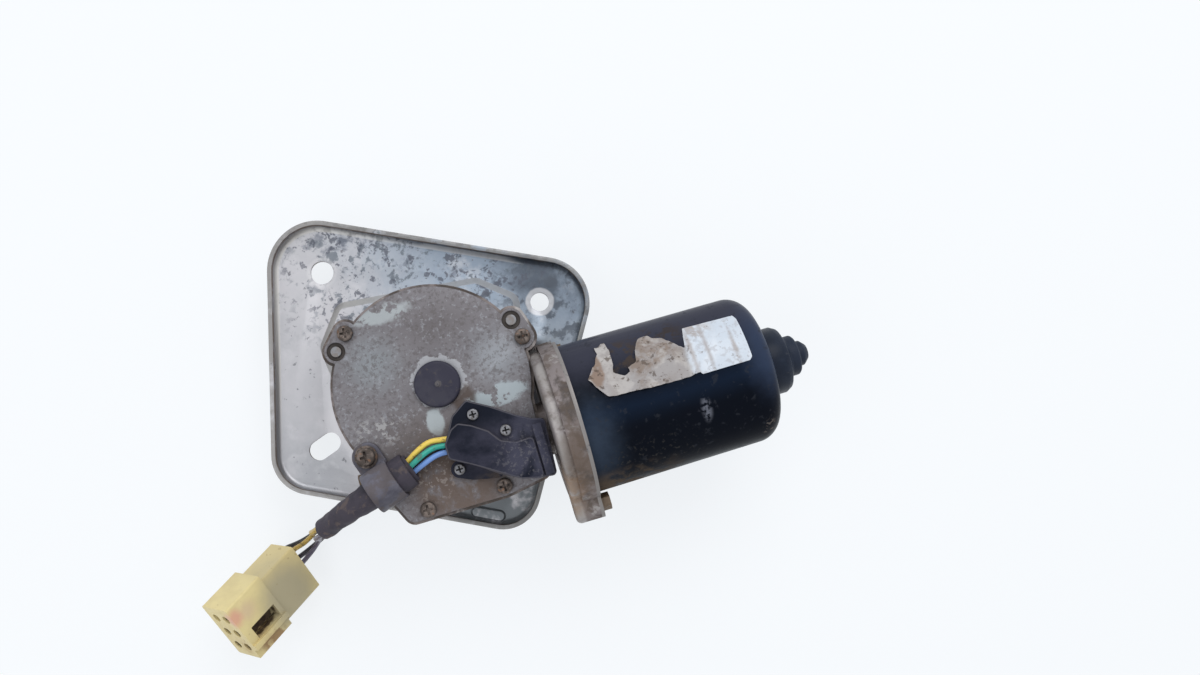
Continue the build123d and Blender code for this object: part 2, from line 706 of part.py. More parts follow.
with BuildPart() as motor_yoke:
    with BuildSketch(motor_plane(yoke_x)):
        Circle(yoke_r)
    extrude(amount=yoke_length, taper=yoke_taper)
    fillet(motor_yoke.faces().sort_by(Axis.X)[-1].edges(), yoke_corner_r)
    offset(amount=-yoke_wall, openings=motor_yoke.faces().sort_by(Axis.X)[0])
    with BuildSketch(motor_plane(yoke_x)):
        add(flange_outline(flange_r, ear_places))
        Circle(yoke_r - yoke_wall, mode=Mode.SUBTRACT)
        with Locations(*ear_places):
            Circle(m6_r, mode=Mode.SUBTRACT)
    extrude(amount=yoke_flange_t)
    with BuildSketch(motor_plane(yoke_end - yoke_wall)):
        Circle(nose_r)
    extrude(amount=yoke_wall + nose_length)
    with BuildSketch(motor_plane(yoke_end - yoke_wall)):
        Circle(bearing_r)
    extrude(amount=yoke_wall + nose_length - 0.4, mode=Mode.SUBTRACT)

with BuildPart() as magnets:
    with BuildSketch(motor_plane(yoke_x + magnet_start)):
        Circle(magnet_outer_r)
        Circle(magnet_inner_r, mode=Mode.SUBTRACT)
        with BuildLine():
            half_gap = math.radians(90 - magnet_arc / 2)
            reach = 2 * yoke_r
            Polyline((0, 0), (reach * math.cos(half_gap), reach * math.sin(half_gap)),
                     (reach * math.cos(half_gap), -reach * math.sin(half_gap)), close=True)
        make_face(mode=Mode.SUBTRACT)
        with BuildLine():
            Polyline((0, 0), (-reach * math.cos(half_gap), reach * math.sin(half_gap)),
                     (-reach * math.cos(half_gap), -reach * math.sin(half_gap)), close=True)
        make_face(mode=Mode.SUBTRACT)
    extrude(amount=magnet_length)

clip_t = 1.0
clip_half_gap = 90 - magnet_arc / 2

with BuildPart() as magnet_clips:
    with BuildSketch(motor_plane(yoke_x + magnet_start)):
        for side in (0, 180):
            with BuildLine():
                arc = CenterArc((0, 0), magnet_outer_r - clip_t / 2, side - clip_half_gap + 1.2,
                                2 * clip_half_gap - 2.4)
            trace(line_width=clip_t)
    extrude(amount=magnet_length)

with BuildPart() as yoke_bolts:
    for y, z in ear_places:
        with BuildSketch(motor_plane(yoke_x + yoke_flange_t)):
            with Locations((y, z)):
                RegularPolygon(m5_head_r, 6)
        extrude(amount=m4_head_t + 1.6)
        with BuildSketch(motor_plane(yoke_x + yoke_flange_t)):
            with Locations((y, z)):
                Circle(m6_r)
        extrude(amount=-yoke_flange_t - flange_back_t - flange_front_t + 1.0)

boot_hem_r, boot_step_r, boot_tip_r = 15.0, 9.0, 5.6
boot_slope = 3.6
boot_hem, boot_step, boot_tip = 11.4, 5.2, 4.9

with BuildPart() as end_boot:
    shoulder_x = yoke_end + boot_hem
    neck_x = shoulder_x + boot_step
    tip_x = neck_x + boot_tip
    revolve(motor_section((yoke_end, nose_r), (yoke_end, boot_hem_r), (shoulder_x - boot_slope, boot_hem_r),
           (shoulder_x - 0.3 * boot_slope, boot_hem_r - 0.4 * boot_slope), (shoulder_x, boot_step_r + 0.8),
           (shoulder_x + 1.0, boot_step_r),
           (neck_x - 1.0, boot_step_r), (neck_x, boot_step_r - 1.0), (neck_x, boot_tip_r),
           (tip_x - 2.4, boot_tip_r), (tip_x, boot_tip_r - 2.4), (tip_x, 0),
           (yoke_end + nose_length, 0), (yoke_end + nose_length, nose_r)), axis=motor_axis)

rear_bush_x = yoke_end - yoke_wall + 1.0

with BuildPart() as rear_bearing:
    revolve(motor_section((rear_bush_x, shaft_r + running_fit), (rear_bush_x, bearing_r),
           (rear_bush_x + 7.0, bearing_r), (rear_bush_x + 7.0, shaft_r + running_fit)), axis=motor_axis)

retainer_t = 0.8
retainer_x = yoke_end - yoke_wall - retainer_t

with BuildPart() as bearing_retainer:
    revolve(motor_section((retainer_x, shaft_r + 0.6), (retainer_x, yoke_corner_r + 3.0),
           (retainer_x + retainer_t, yoke_corner_r + 3.0), (retainer_x + retainer_t, shaft_r + 0.6)),
           axis=motor_axis)

front_bush_length = 9.0
front_bush_x = pocket_x - front_bush_length

with BuildPart() as front_bearing:
    revolve(motor_section((front_bush_x, shaft_r + running_fit), (front_bush_x, tunnel_r),
           (pocket_x, tunnel_r), (pocket_x, shaft_r + running_fit)), axis=motor_axis)

with BuildPart() as worm_end_bearing:
    revolve(motor_section((worm_bush_start, shaft_r + running_fit), (worm_bush_start, bearing_r),
           (worm_bush_end, bearing_r), (worm_bush_end, shaft_r + running_fit)), axis=motor_axis)

ball_gap = 0.05
ball_x = shaft_tip - ball_gap - ball_r
screw_end_x = ball_x - ball_r
screw_start_x = screw_end_x - thrust_screw_length

with BuildPart() as thrust_ball:
    with Locations((ball_x, motor_y, motor_z)):
        Sphere(ball_r)

with BuildPart() as thrust_screw:
    revolve(motor_section((screw_start_x, 0), (screw_start_x, screw_bore_r), (screw_end_x, screw_bore_r),
           (screw_end_x, 0)), axis=motor_axis)

# ---- Brush gear ------------------------------------------------------------------

plate_front = pocket_x
holder_x = plate_front + brush_plate_t
holder_start = commutator_r + 2.0
holder_end = pocket_r - 1.5
holder_centre = (holder_start + holder_end) / 2
holder_width = brush_width + 2 * holder_wall
holder_depth = brush_height + 2 * holder_wall
brush_start = commutator_r + brush_gap
brush_length = brush_share * (holder_end - brush_start)

with BuildPart() as brush_plate:
    with BuildSketch(motor_plane(plate_front)):
        Circle(pocket_r)
        Circle(commutator_r + 1.5, mode=Mode.SUBTRACT)
    extrude(amount=brush_plate_t)

with BuildPart() as brush_holders:
    with Locations(motor_plane(holder_x)):
        with PolarLocations(holder_centre, brush_count, start_angle=90):
            Box(holder_end - holder_start, holder_width, holder_depth,
                align=(Align.CENTER, Align.CENTER, Align.MIN))
        with PolarLocations(holder_centre, brush_count, start_angle=90):
            with Locations((0, 0, holder_wall)):
                Box(holder_end - holder_start, brush_width, brush_height,
                    align=(Align.CENTER, Align.CENTER, Align.MIN), mode=Mode.SUBTRACT)

with BuildPart() as brushes:
    with Locations(motor_plane(holder_x)):
        with PolarLocations(brush_start + brush_length / 2, brush_count, start_angle=90):
            with Locations((0, 0, holder_wall)):
                Box(brush_length, brush_width, brush_height,
                    align=(Align.CENTER, Align.CENTER, Align.MIN))

spring_start = brush_start + brush_length
spring_end = holder_end

with BuildPart() as brush_springs:
    with Locations(motor_plane(holder_x + holder_wall + brush_height / 2)):
        with PolarLocations((spring_start + spring_end) / 2, brush_count, start_angle=90):
            Cylinder(brush_width / 2, spring_end - spring_start, rotation=(0, 90, 0))

# ---- Terminal cover --------------------------------------------------------------

board_top = cover_top + board_t
block_top = cover_top + block_rise
rib_reach = block_outline[4][1] - block_outline[5][1]


def block_prism(outline, height):
    """A moulded block on the gear cover, with rounded corners and top edge."""
    with BuildPart() as block:
        with BuildSketch(Plane.XY.offset(cover_top)) as plan:
            Polygon(*outline, align=None)
            fillet(plan.vertices(), corner_round)
        extrude(amount=height)
        fillet(block.faces().sort_by(Axis.Z)[-1].edges(), edge_round)
    return block.part


def block_inside(inset):
    """Plan of the space inside the terminal cover, without its screw towers."""
    with BuildSketch() as plan:
        Polygon(*block_outline, align=None)
        offset(amount=-inset, kind=Kind.INTERSECTION, mode=Mode.REPLACE)
        with Locations(*terminal_screw_places):
            Circle(screw_tower_r + inset - block_wall, mode=Mode.SUBTRACT)
    return plan.sketch


with BuildPart() as terminal_cover:
    add(block_prism(block_outline, block_rise))
    add(block_prism(plateau_outline, plateau_rise))
    with BuildSketch(Plane.XY.offset(block_top)):
        with Locations((rib_x, block_outline[5][1] + rib_reach / 2)):
            Rectangle(rib_width, rib_reach - 2 * block_wall)
    extrude(amount=plateau_rise - block_rise)
    with BuildSketch(Plane.XY.offset(cover_top)):
        add(lug(lug_r, lug_screw_place, *lug_roots))
    extrude(amount=lug_rise)
    with BuildSketch(Plane.XY.offset(cover_top)):
        add(block_inside(block_wall))
    extrude(amount=block_rise - block_wall, mode=Mode.SUBTRACT)
    with BuildSketch(Plane.XY.offset(cover_top)):
        with Locations(*terminal_screw_places, lug_screw_place):
            Circle(m3_r)
    extrude(amount=plateau_rise, mode=Mode.SUBTRACT)
    with BuildSketch(Plane.XY.offset(block_top)):
        with Locations(*terminal_screw_places):
            Circle(m3_head_r + head_room)
    extrude(amount=plateau_rise, mode=Mode.SUBTRACT)
    with BuildSketch(Plane.XY.offset(cover_top + lug_rise)):
        with Locations(lug_screw_place):
            Circle(m3_head_r + head_room)
    extrude(amount=plateau_rise, mode=Mode.SUBTRACT)
    with Locations((*mouth_place, board_top)):
        Box(mouth_depth, mouth_width, mouth_height, align=(Align.CENTER, Align.CENTER, Align.MIN),
            mode=Mode.SUBTRACT)

with BuildPart() as terminal_board:
    with BuildSketch(Plane.XY.offset(cover_top)):
        add(block_inside(block_wall + 0.2))
    extrude(amount=board_t)

with BuildPart() as terminal_screws:
    with Locations(*[(*place, block_top) for place in terminal_screw_places]):
        add(pan_screw(m3_r, block_rise, m3_head_r, m3_head_t))
    with Locations((*lug_screw_place, cover_top + lug_rise)):
        add(pan_screw(m3_r, lug_rise, m3_head_r, m3_head_t))

# ---- Cable clamp -----------------------------------------------------------------

clamp_run = Vector(*sleeve_route[1]) - Vector(*sleeve_route[0])
clamp_along = clamp_run.normalized()
clamp_start = Vector(*sleeve_route[0])
collar_start = clamp_start + clamp_along * collar_inset
strap_start = clamp_start + clamp_along * strap_inset
side = Vector(-clamp_along.Y, clamp_along.X, 0)
foot_drop = cover_top - clamp_start.Z


def clamp_plane(origin):
    """A plane across the harness at the clamp: its own x runs sideways and its y up."""
    return Plane(origin=origin, x_dir=side, z_dir=clamp_along)


with BuildPart() as clamp_collar:
    with BuildSketch(clamp_plane(collar_start)):
        Circle(collar_r)
        Circle(sleeve_r, mode=Mode.SUBTRACT)
    extrude(amount=collar_length)

strap_r = collar_r + strap_t

with BuildPart() as cable_clamp:
    with BuildSketch(clamp_plane(strap_start)):
        Circle(strap_r)
        with Locations((0, foot_drop / 2)):
            Rectangle(2 * strap_r, -foot_drop)
        with Locations((0, foot_drop)):
            Rectangle(4 * strap_r, 2 * strap_r, align=(Align.CENTER, Align.MAX), mode=Mode.SUBTRACT)
        Circle(collar_r, mode=Mode.SUBTRACT)
        with Locations((0, foot_drop / 2)):
            Rectangle(2 * collar_r, -foot_drop, mode=Mode.SUBTRACT)
        with Locations((-strap_foot / 2, foot_drop + strap_t / 2)):
            Rectangle(strap_foot, strap_t)
        Circle(collar_r + 0.01, mode=Mode.SUBTRACT)
        with Locations((0, foot_drop / 2)):
            Rectangle(2 * collar_r, -foot_drop, mode=Mode.SUBTRACT)
    extrude(amount=strap_width)
    foot_corners = cable_clamp.edges().filter_by(Axis.Z).sort_by(lambda edge: edge.center().dot(side))
    fillet(foot_corners[:2], strap_round)
    with BuildSketch(Plane.XY.offset(cover_top)):
        with Locations(clamp_screw_place):
            Circle(m4_r + 0.2)
    extrude(amount=strap_t, mode=Mode.SUBTRACT)

# ---- Harness ---------------------------------------------------------------------

wiring_sleeve = cord_tube(sleeve_route, sleeve_r, sleeve_bore_r)
wire_yellow = cord_tube(yellow_route, wire_r)
wire_green = cord_tube(green_route, wire_r)
wire_blue = cord_tube(blue_route, wire_r)
wire_black = cord_tube(black_route, wire_r)

# ---- Connector -------------------------------------------------------------------

heading, pitch = math.radians(connector_heading), math.radians(connector_pitch)
connector_axis = Vector(math.cos(pitch) * math.cos(heading), math.cos(pitch) * math.sin(heading),
                        math.sin(pitch))
roll = math.radians(connector_roll)
level = Vector(math.sin(heading), -math.cos(heading), 0)
across = level * math.cos(roll) + connector_axis.cross(level) * math.sin(roll)
connector_plane = Plane(origin=connector_place, x_dir=across, z_dir=connector_axis)
connector_length = rear_length + front_length

with BuildPart() as connector_housing:
    with BuildSketch(connector_plane):
        RectangleRounded(rear_width, rear_height, connector_round)
    extrude(amount=rear_length)
    with BuildSketch(connector_plane.offset(rear_length)):
        RectangleRounded(front_width, front_height, connector_round)
    extrude(amount=front_length)
    with BuildSketch(connector_plane.offset(rear_length)):
        with Locations((rail_x, -front_height / 2)):
            Rectangle(rail_width, 2 * rail_rise)
    extrude(amount=front_length)
    with BuildSketch(connector_plane.offset(rear_length)):
        with Locations((step_x, -front_height / 2)):
            Rectangle(front_width, 2 * step_drop, align=(Align.MAX, Align.CENTER))
    extrude(amount=front_length, mode=Mode.SUBTRACT)
    with BuildSketch(connector_plane):
        with GridLocations(contact_column_pitch, contact_row_pitch, contact_columns, 2):
            Circle(contact_r)
    extrude(amount=connector_length, mode=Mode.SUBTRACT)
    with BuildSketch(connector_plane.offset(rear_length + window_start)):
        with Locations((window_x, -front_height / 2)):
            Rectangle(window_width, front_height - contact_row_pitch)
    extrude(amount=window_length, mode=Mode.SUBTRACT)

used_contacts = [(x, y) for x in (contact_column_pitch, 0)
                 for y in (-contact_row_pitch / 2, contact_row_pitch / 2)]

with BuildPart() as connector_terminals:
    with BuildSketch(connector_plane.offset(terminal_inset)):
        with Locations(*used_contacts):
            Circle(contact_r)
            Circle(wire_r + 0.15, mode=Mode.SUBTRACT)
    extrude(amount=connector_length - terminal_inset - terminal_tip_inset)

# ---- Files -----------------------------------------------------------------------

sub_parts = {
    "mounting_plate": mounting_plate, "gear_housing": gear_housing, "cover_gasket": cover_gasket,
    "gear_cover": gear_cover, "cover_cap": cover_cap, "cover_screws": cover_screws,
    "clamp_screw": clamp_screw, "locating_pins": locating_pins, "plate_bolts": plate_bolts,
    "gear_wheel": gear_wheel, "thrust_washer": thrust_washer, "park_cam_disc": park_cam_disc,
    "output_shaft": output_shaft, "output_circlip": output_circlip, "boss_washer": boss_washer,
    "output_bushes": output_bushes, "shaft_seal": shaft_seal, "contact_carrier": contact_carrier,
    "park_contacts": park_contacts, "armature_shaft": armature_shaft, "armature_core": armature_core,
    "armature_windings": armature_windings, "commutator": commutator, "motor_yoke": motor_yoke,
    "magnets": magnets, "magnet_clips": magnet_clips, "yoke_bolts": yoke_bolts, "end_boot": end_boot,
    "rear_bearing": rear_bearing, "bearing_retainer": bearing_retainer, "front_bearing": front_bearing,
    "worm_end_bearing": worm_end_bearing, "thrust_ball": thrust_ball, "thrust_screw": thrust_screw,
    "brush_plate": brush_plate, "brush_holders": brush_holders, "brushes": brushes,
    "brush_springs": brush_springs, "terminal_cover": terminal_cover, "terminal_board": terminal_board,
    "terminal_screws": terminal_screws, "clamp_collar": clamp_collar, "cable_clamp": cable_clamp,
    "wiring_sleeve": wiring_sleeve, "wire_yellow": wire_yellow, "wire_green": wire_green,
    "wire_blue": wire_blue, "wire_black": wire_black, "connector_housing": connector_housing,
    "connector_terminals": connector_terminals,
}

os.makedirs("parts", exist_ok=True)
for name, builder in sub_parts.items():
    builder.part.label = name
    export_step(builder.part, f"parts/{name}.step")
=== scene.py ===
"""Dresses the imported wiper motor: its finishes, harness, label, stage, lights and camera."""

from __future__ import annotations

import json
import logging
import math
from collections.abc import Iterator, Mapping, Sequence
from contextlib import contextmanager
from dataclasses import dataclass, field
from enum import Enum

import bmesh
import bpy
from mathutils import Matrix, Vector, noise

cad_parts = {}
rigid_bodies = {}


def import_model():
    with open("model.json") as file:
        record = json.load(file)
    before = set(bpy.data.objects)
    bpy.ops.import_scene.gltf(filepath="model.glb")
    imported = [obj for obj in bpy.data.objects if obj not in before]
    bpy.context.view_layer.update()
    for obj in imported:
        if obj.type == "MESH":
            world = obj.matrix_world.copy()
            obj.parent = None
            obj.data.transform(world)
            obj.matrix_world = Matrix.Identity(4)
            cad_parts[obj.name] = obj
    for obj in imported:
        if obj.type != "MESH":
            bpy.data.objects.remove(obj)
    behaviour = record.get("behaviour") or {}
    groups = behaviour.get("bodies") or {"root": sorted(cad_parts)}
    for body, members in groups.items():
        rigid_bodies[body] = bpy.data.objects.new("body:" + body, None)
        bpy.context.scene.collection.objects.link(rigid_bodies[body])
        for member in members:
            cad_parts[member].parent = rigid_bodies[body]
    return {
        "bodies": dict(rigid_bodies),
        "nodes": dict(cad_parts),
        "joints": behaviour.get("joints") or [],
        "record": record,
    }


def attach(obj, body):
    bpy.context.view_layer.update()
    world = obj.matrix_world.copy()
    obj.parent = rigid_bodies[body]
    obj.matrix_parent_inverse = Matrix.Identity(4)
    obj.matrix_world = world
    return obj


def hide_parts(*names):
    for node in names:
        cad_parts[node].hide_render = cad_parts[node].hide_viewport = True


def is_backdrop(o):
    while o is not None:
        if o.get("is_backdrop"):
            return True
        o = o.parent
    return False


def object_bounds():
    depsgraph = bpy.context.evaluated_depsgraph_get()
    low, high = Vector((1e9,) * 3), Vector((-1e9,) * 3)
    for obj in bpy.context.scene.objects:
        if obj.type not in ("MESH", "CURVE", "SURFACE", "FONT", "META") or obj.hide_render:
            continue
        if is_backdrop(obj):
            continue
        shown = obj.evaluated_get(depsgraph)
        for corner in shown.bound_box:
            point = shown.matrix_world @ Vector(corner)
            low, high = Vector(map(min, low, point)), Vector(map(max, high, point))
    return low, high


LOG = logging.getLogger("wiper_motor")
MM = 0.001
NOISE_SEED = 11
STILL_BODY = "root"

Triple = tuple[float, float, float]
Pair = tuple[float, float]
Piece = bpy.types.Object
Node = bpy.types.Node
Tree = bpy.types.NodeTree
Socket = bpy.types.NodeSocket


class Where(Enum):
    """The faces that a layer of a finish lies on."""

    ALL = "all"
    WALLS = "walls"
    SLOPES = "slopes"


# ---- Edit-mode helpers ----


def deselect() -> None:
    """Leave edit mode and deselect every object."""
    if bpy.context.object is not None and bpy.context.object.mode != "OBJECT":
        bpy.ops.object.mode_set(mode="OBJECT")
    bpy.ops.object.select_all(action="DESELECT")


def activate(piece: Piece) -> None:
    """Make one object the only selected one and the active one.

    Args:
        piece: The object that the next operators act on.
    """
    deselect()
    piece.select_set(True)
    bpy.context.view_layer.objects.active = piece


@contextmanager
def editing(piece: Piece) -> Iterator[None]:
    """Open one object in edit mode with all of its mesh selected.

    Args:
        piece: The mesh object to edit.
    """
    activate(piece)
    bpy.ops.object.mode_set(mode="EDIT")
    bpy.ops.mesh.select_all(action="SELECT")
    yield
    bpy.ops.object.mode_set(mode="OBJECT")


def apply_modifiers(piece: Piece) -> None:
    """Apply every modifier of a piece, in order."""
    activate(piece)
    for modifier in list(piece.modifiers):
        bpy.ops.object.modifier_apply(modifier=modifier.name)


def shade_smooth(piece: Piece, degrees: float = 35.0) -> None:
    """Shade a piece smooth, with sharp edges past an angle."""
    activate(piece)
    bpy.ops.object.shade_smooth_by_angle(angle=math.radians(degrees))


# ---- Shader graphs ----


@dataclass
class Graph:
    """A node tree that is filled one node at a time."""

    tree: Tree

    def fill(self, node: Node, values: Mapping[str | int, object]) -> None:
        """Link or set a node's inputs.

        Args:
            node: The node.
            values: For each input, a socket to link or a value to set.
        """
        for key, value in values.items():
            if isinstance(value, Socket):
                self.tree.links.new(value, node.inputs[key])
            else:
                node.inputs[key].default_value = value

    def put(self, kind: str, values: Mapping[str | int, object] | None = None, **settings: object) -> Node:
        """Add a node.

        Args:
            kind: The node's type.
            values: Its inputs, as fill takes them.
            **settings: Properties of the node itself.

        Returns:
            The new node.
        """
        node = self.tree.nodes.new(kind)
        for key, value in settings.items():
            setattr(node, key, value)
        self.fill(node, values or {})
        return node

    def maths(self, operation: str, *terms: object) -> Socket:
        """Add a Math node and give back its result.

        Args:
            operation: The Math node's operation.
            *terms: Sockets or numbers.

        Returns:
            The node's output socket.
        """
        return self.put("ShaderNodeMath", dict(enumerate(terms)), operation=operation).outputs[0]

    def ramp(self, value: object, low: object, high: object) -> Socket:
        """Add a smooth step from 0 at low to 1 at high.

        Args:
            value: The socket that is stepped.
            low: Where the step starts.
            high: Where the step ends.

        Returns:
            The stepped value.
        """
        values = {"Value": value, "From Min": low, "From Max": high}
        return self.put("ShaderNodeMapRange", values, interpolation_type="SMOOTHSTEP").outputs["Result"]

    def band(self, value: Socket, middle: Socket, half: Socket) -> Socket:
        """Add a smooth step round a middle value.

        Args:
            value: The socket that is stepped.
            middle: Where the step is half way.
            half: Half of the step's width.

        Returns:
            The stepped value.
        """
        return self.ramp(value, self.maths("SUBTRACT", middle, half), self.maths("ADD", middle, half))

    def blend(self, kind: str, mask: object, first: object, second: object) -> Socket:
        """Mix two colours or two numbers.

        Args:
            kind: RGBA or FLOAT.
            mask: The share of the second one.
            first: What shows where the mask is 0.
            second: What shows where the mask is 1.

        Returns:
            The mixed socket.
        """
        spots = {"RGBA": (6, 7, 2), "FLOAT": (2, 3, 0)}[kind]
        node = self.put("ShaderNodeMix", {0: mask, spots[0]: first, spots[1]: second}, data_type=kind)
        return node.outputs[spots[2]]

    def seen_rays(self) -> Socket:
        """Tell which rays see the backdrop: camera, glossy and transmission rays."""
        rays = self.put("ShaderNodeLightPath")
        seen = self.maths("MAXIMUM", rays.outputs["Is Camera Ray"], rays.outputs["Is Glossy Ray"])
        return self.maths("MAXIMUM", seen, rays.outputs["Is Transmission Ray"])


class Effects:
    """The shader node groups that several finishes share, each built once."""

    def __init__(self) -> None:
        """Build the groups."""
        self.patches = self._patches()
        self.spot = self._spot()
        self.grain = self._grain()
        self.facing = self._facing()

    @staticmethod
    def _open(
        name: str, vectors: Sequence[str], numbers: Sequence[str], outputs: Sequence[str]
    ) -> tuple[Graph, Node, Node]:
        """Start a group.

        Args:
            name: The group's name.
            vectors: The names of its vector inputs.
            numbers: The names of its number inputs.
            outputs: The names of its outputs, all of them numbers.

        Returns:
            The group's graph, its input node and its output node.
        """
        tree = bpy.data.node_groups.new(name, "ShaderNodeTree")
        for labels, side, kind in (
            (vectors, "INPUT", "Vector"), (numbers, "INPUT", "Float"), (outputs, "OUTPUT", "Float")
        ):
            for label in labels:
                tree.interface.new_socket(name=label, in_out=side, socket_type=f"NodeSocket{kind}")
        graph = Graph(tree)
        return graph, graph.put("NodeGroupInput"), graph.put("NodeGroupOutput")

    def _patches(self) -> Tree:
        """Build irregular patches where a noise is above a level."""
        graph, given, result = self._open("patches", ["Vector"], ["Scale", "Level", "Softness"], ["Mask"])
        cloud = graph.put("ShaderNodeTexNoise", {
            "Vector": given.outputs["Vector"], "Scale": given.outputs["Scale"],
            "Detail": 9.0, "Roughness": 0.62, "Distortion": 0.25})
        mask = graph.band(cloud.outputs[0], given.outputs["Level"], given.outputs["Softness"])
        graph.fill(result, {0: mask})
        return graph.tree

    def _spot(self) -> Tree:
        """Build a round or squashed spot with a ragged edge."""
        graph, given, result = self._open(
            "spot", ["Vector", "Centre", "Squash"], ["Radius", "Fade", "Ragged"], ["Mask"])
        ends = {0: given.outputs["Vector"], 1: given.outputs["Centre"]}
        offset = graph.put("ShaderNodeVectorMath", ends, operation="SUBTRACT")
        shares = {0: offset.outputs[0], 1: given.outputs["Squash"]}
        squashed = graph.put("ShaderNodeVectorMath", shares, operation="MULTIPLY")
        length = graph.put("ShaderNodeVectorMath", {0: squashed.outputs[0]}, operation="LENGTH")
        cloud = graph.put("ShaderNodeTexNoise", {
            "Vector": given.outputs["Vector"], "Scale": 160.0, "Detail": 6.0, "Roughness": 0.7})
        centred = graph.maths("SUBTRACT", cloud.outputs[0], 0.5)
        wobble = graph.maths("MULTIPLY", centred, given.outputs["Ragged"])
        distance = graph.maths("ADD", length.outputs["Value"], wobble)
        outside = graph.band(distance, given.outputs["Radius"], given.outputs["Fade"])
        graph.fill(result, {0: graph.maths("SUBTRACT", 1.0, outside)})
        return graph.tree

    def _grain(self) -> Tree:
        """Build a height from a fine and a coarse noise."""
        graph, given, result = self._open("grain", ["Vector"], ["Fine", "Coarse"], ["Height"])
        shares = []
        for label, share in (("Fine", 0.45), ("Coarse", 0.55)):
            cloud = graph.put("ShaderNodeTexNoise", {
                "Vector": given.outputs["Vector"], "Scale": given.outputs[label], "Detail": 5.0})
            shares.append(graph.maths("MULTIPLY", cloud.outputs[0], share))
        graph.fill(result, {0: graph.maths("ADD", *shares)})
        return graph.tree

    def _facing(self) -> Tree:
        """Build masks for upright faces and for slopes."""
        graph, given, result = self._open("facing", ["Normal"], [], [Where.WALLS.value, Where.SLOPES.value])
        parts = graph.put("ShaderNodeSeparateXYZ", {0: given.outputs["Normal"]})
        steep = graph.maths("ABSOLUTE", parts.outputs["Z"])
        walls = graph.maths("SUBTRACT", 1.0, graph.ramp(steep, 0.1, 0.45))
        slopes = graph.maths("MULTIPLY", graph.ramp(steep, 0.4, 0.5), graph.ramp(steep, 0.995, 0.97))
        graph.fill(result, {0: walls, 1: slopes})
        return graph.tree


# ---- Finishes ----


@dataclass(frozen=True)
class Spot:
    """A place on the object that a layer is kept to, in millimetres.

    Past the radius it ends within the fade, along an edge as ragged as given. The squash scales the
    distance along each axis.
    """

    centre: Triple
    radius: float
    fade: float = 1
    ragged: float = 4
    squash: Triple = (1, 1, 1)


@dataclass(frozen=True)
class Layer:
    """One colour over a finish, and where it shows: dirt, wear and rust, and also painted shade, shadow and
    highlights.

    Its patches are a noise's scale, the level that it passes and the softness of their edges.
    """

    colour: Triple
    strength: float = 1
    patches: Triple | None = None
    spot: Spot | None = None
    where: Where = Where.ALL
    roughness: float | None = None
    metallic: float | None = None


@dataclass(frozen=True)
class Finish:
    """A surface: its base, its layers from the lowest up, and its grain."""

    name: str
    colour: Triple
    roughness: float = 0.5
    metallic: float = 0
    specular: float = 0.5
    layers: tuple[Layer, ...] = ()
    fine: float = 900
    coarse: float = 150
    depth: float = 0.05

    def build(self, effects: Effects) -> bpy.types.Material:
        """Make the material.

        Args:
            effects: The shared node groups.

        Returns:
            The material.
        """
        material = bpy.data.materials.new(self.name)
        material.use_nodes = True
        graph = Graph(material.node_tree)
        shader = material.node_tree.nodes["Principled BSDF"]
        places = graph.put("ShaderNodeTexCoord")
        facing = graph.put("ShaderNodeGroup", {"Normal": places.outputs["Normal"]}, node_tree=effects.facing)
        colour: object = (*self.colour, 1.0)
        rough: object = self.roughness
        metal: object = self.metallic
        for layer in self.layers:
            mask = self._mask(graph, effects, places, facing, layer)
            colour = graph.blend("RGBA", mask, colour, (*layer.colour, 1.0))
            if layer.roughness is not None:
                rough = graph.blend("FLOAT", mask, rough, layer.roughness)
            if layer.metallic is not None:
                metal = graph.blend("FLOAT", mask, metal, layer.metallic)
        scales = {"Vector": places.outputs["Object"], "Fine": self.fine, "Coarse": self.coarse}
        grain = graph.put("ShaderNodeGroup", scales, node_tree=effects.grain)
        bump = graph.put("ShaderNodeBump", {
            "Height": grain.outputs["Height"], "Distance": self.depth * MM, "Strength": 1.0})
        graph.fill(shader, {
            "Base Color": colour, "Roughness": rough, "Metallic": metal,
            "Specular IOR Level": self.specular, "Normal": bump.outputs["Normal"]})
        return material

    @staticmethod
    def _mask(graph: Graph, effects: Effects, places: Node, facing: Node, layer: Layer) -> Socket:
        """Work out where a layer shows.

        Args:
            graph: The material's graph.
            effects: The shared node groups.
            places: The Texture Coordinate node.
            facing: The node of the facing group.
            layer: The layer.

        Returns:
            A mask from 0 to 1.
        """
        vector = {"Vector": places.outputs["Object"]}
        factors: list[object] = [layer.strength]
        if layer.patches is not None:
            values = vector | dict(zip(("Scale", "Level", "Softness"), layer.patches))
            factors.append(graph.put("ShaderNodeGroup", values, node_tree=effects.patches).outputs[0])
        if layer.spot is not None:
            spot = layer.spot
            values = vector | {
                "Centre": [value * MM for value in spot.centre], "Squash": spot.squash,
                "Radius": spot.radius * MM, "Fade": spot.fade * MM, "Ragged": spot.ragged * MM}
            factors.append(graph.put("ShaderNodeGroup", values, node_tree=effects.spot).outputs[0])
        if layer.where is not Where.ALL:
            factors.append(facing.outputs[layer.where.value])
        mask = factors[-1]
        for factor in factors[:-1]:
            mask = graph.maths("MULTIPLY", mask, factor)
        return mask if isinstance(mask, Socket) else graph.maths("MULTIPLY", mask, 1.0)


DARK_DIRT = (0.05, 0.038, 0.032)

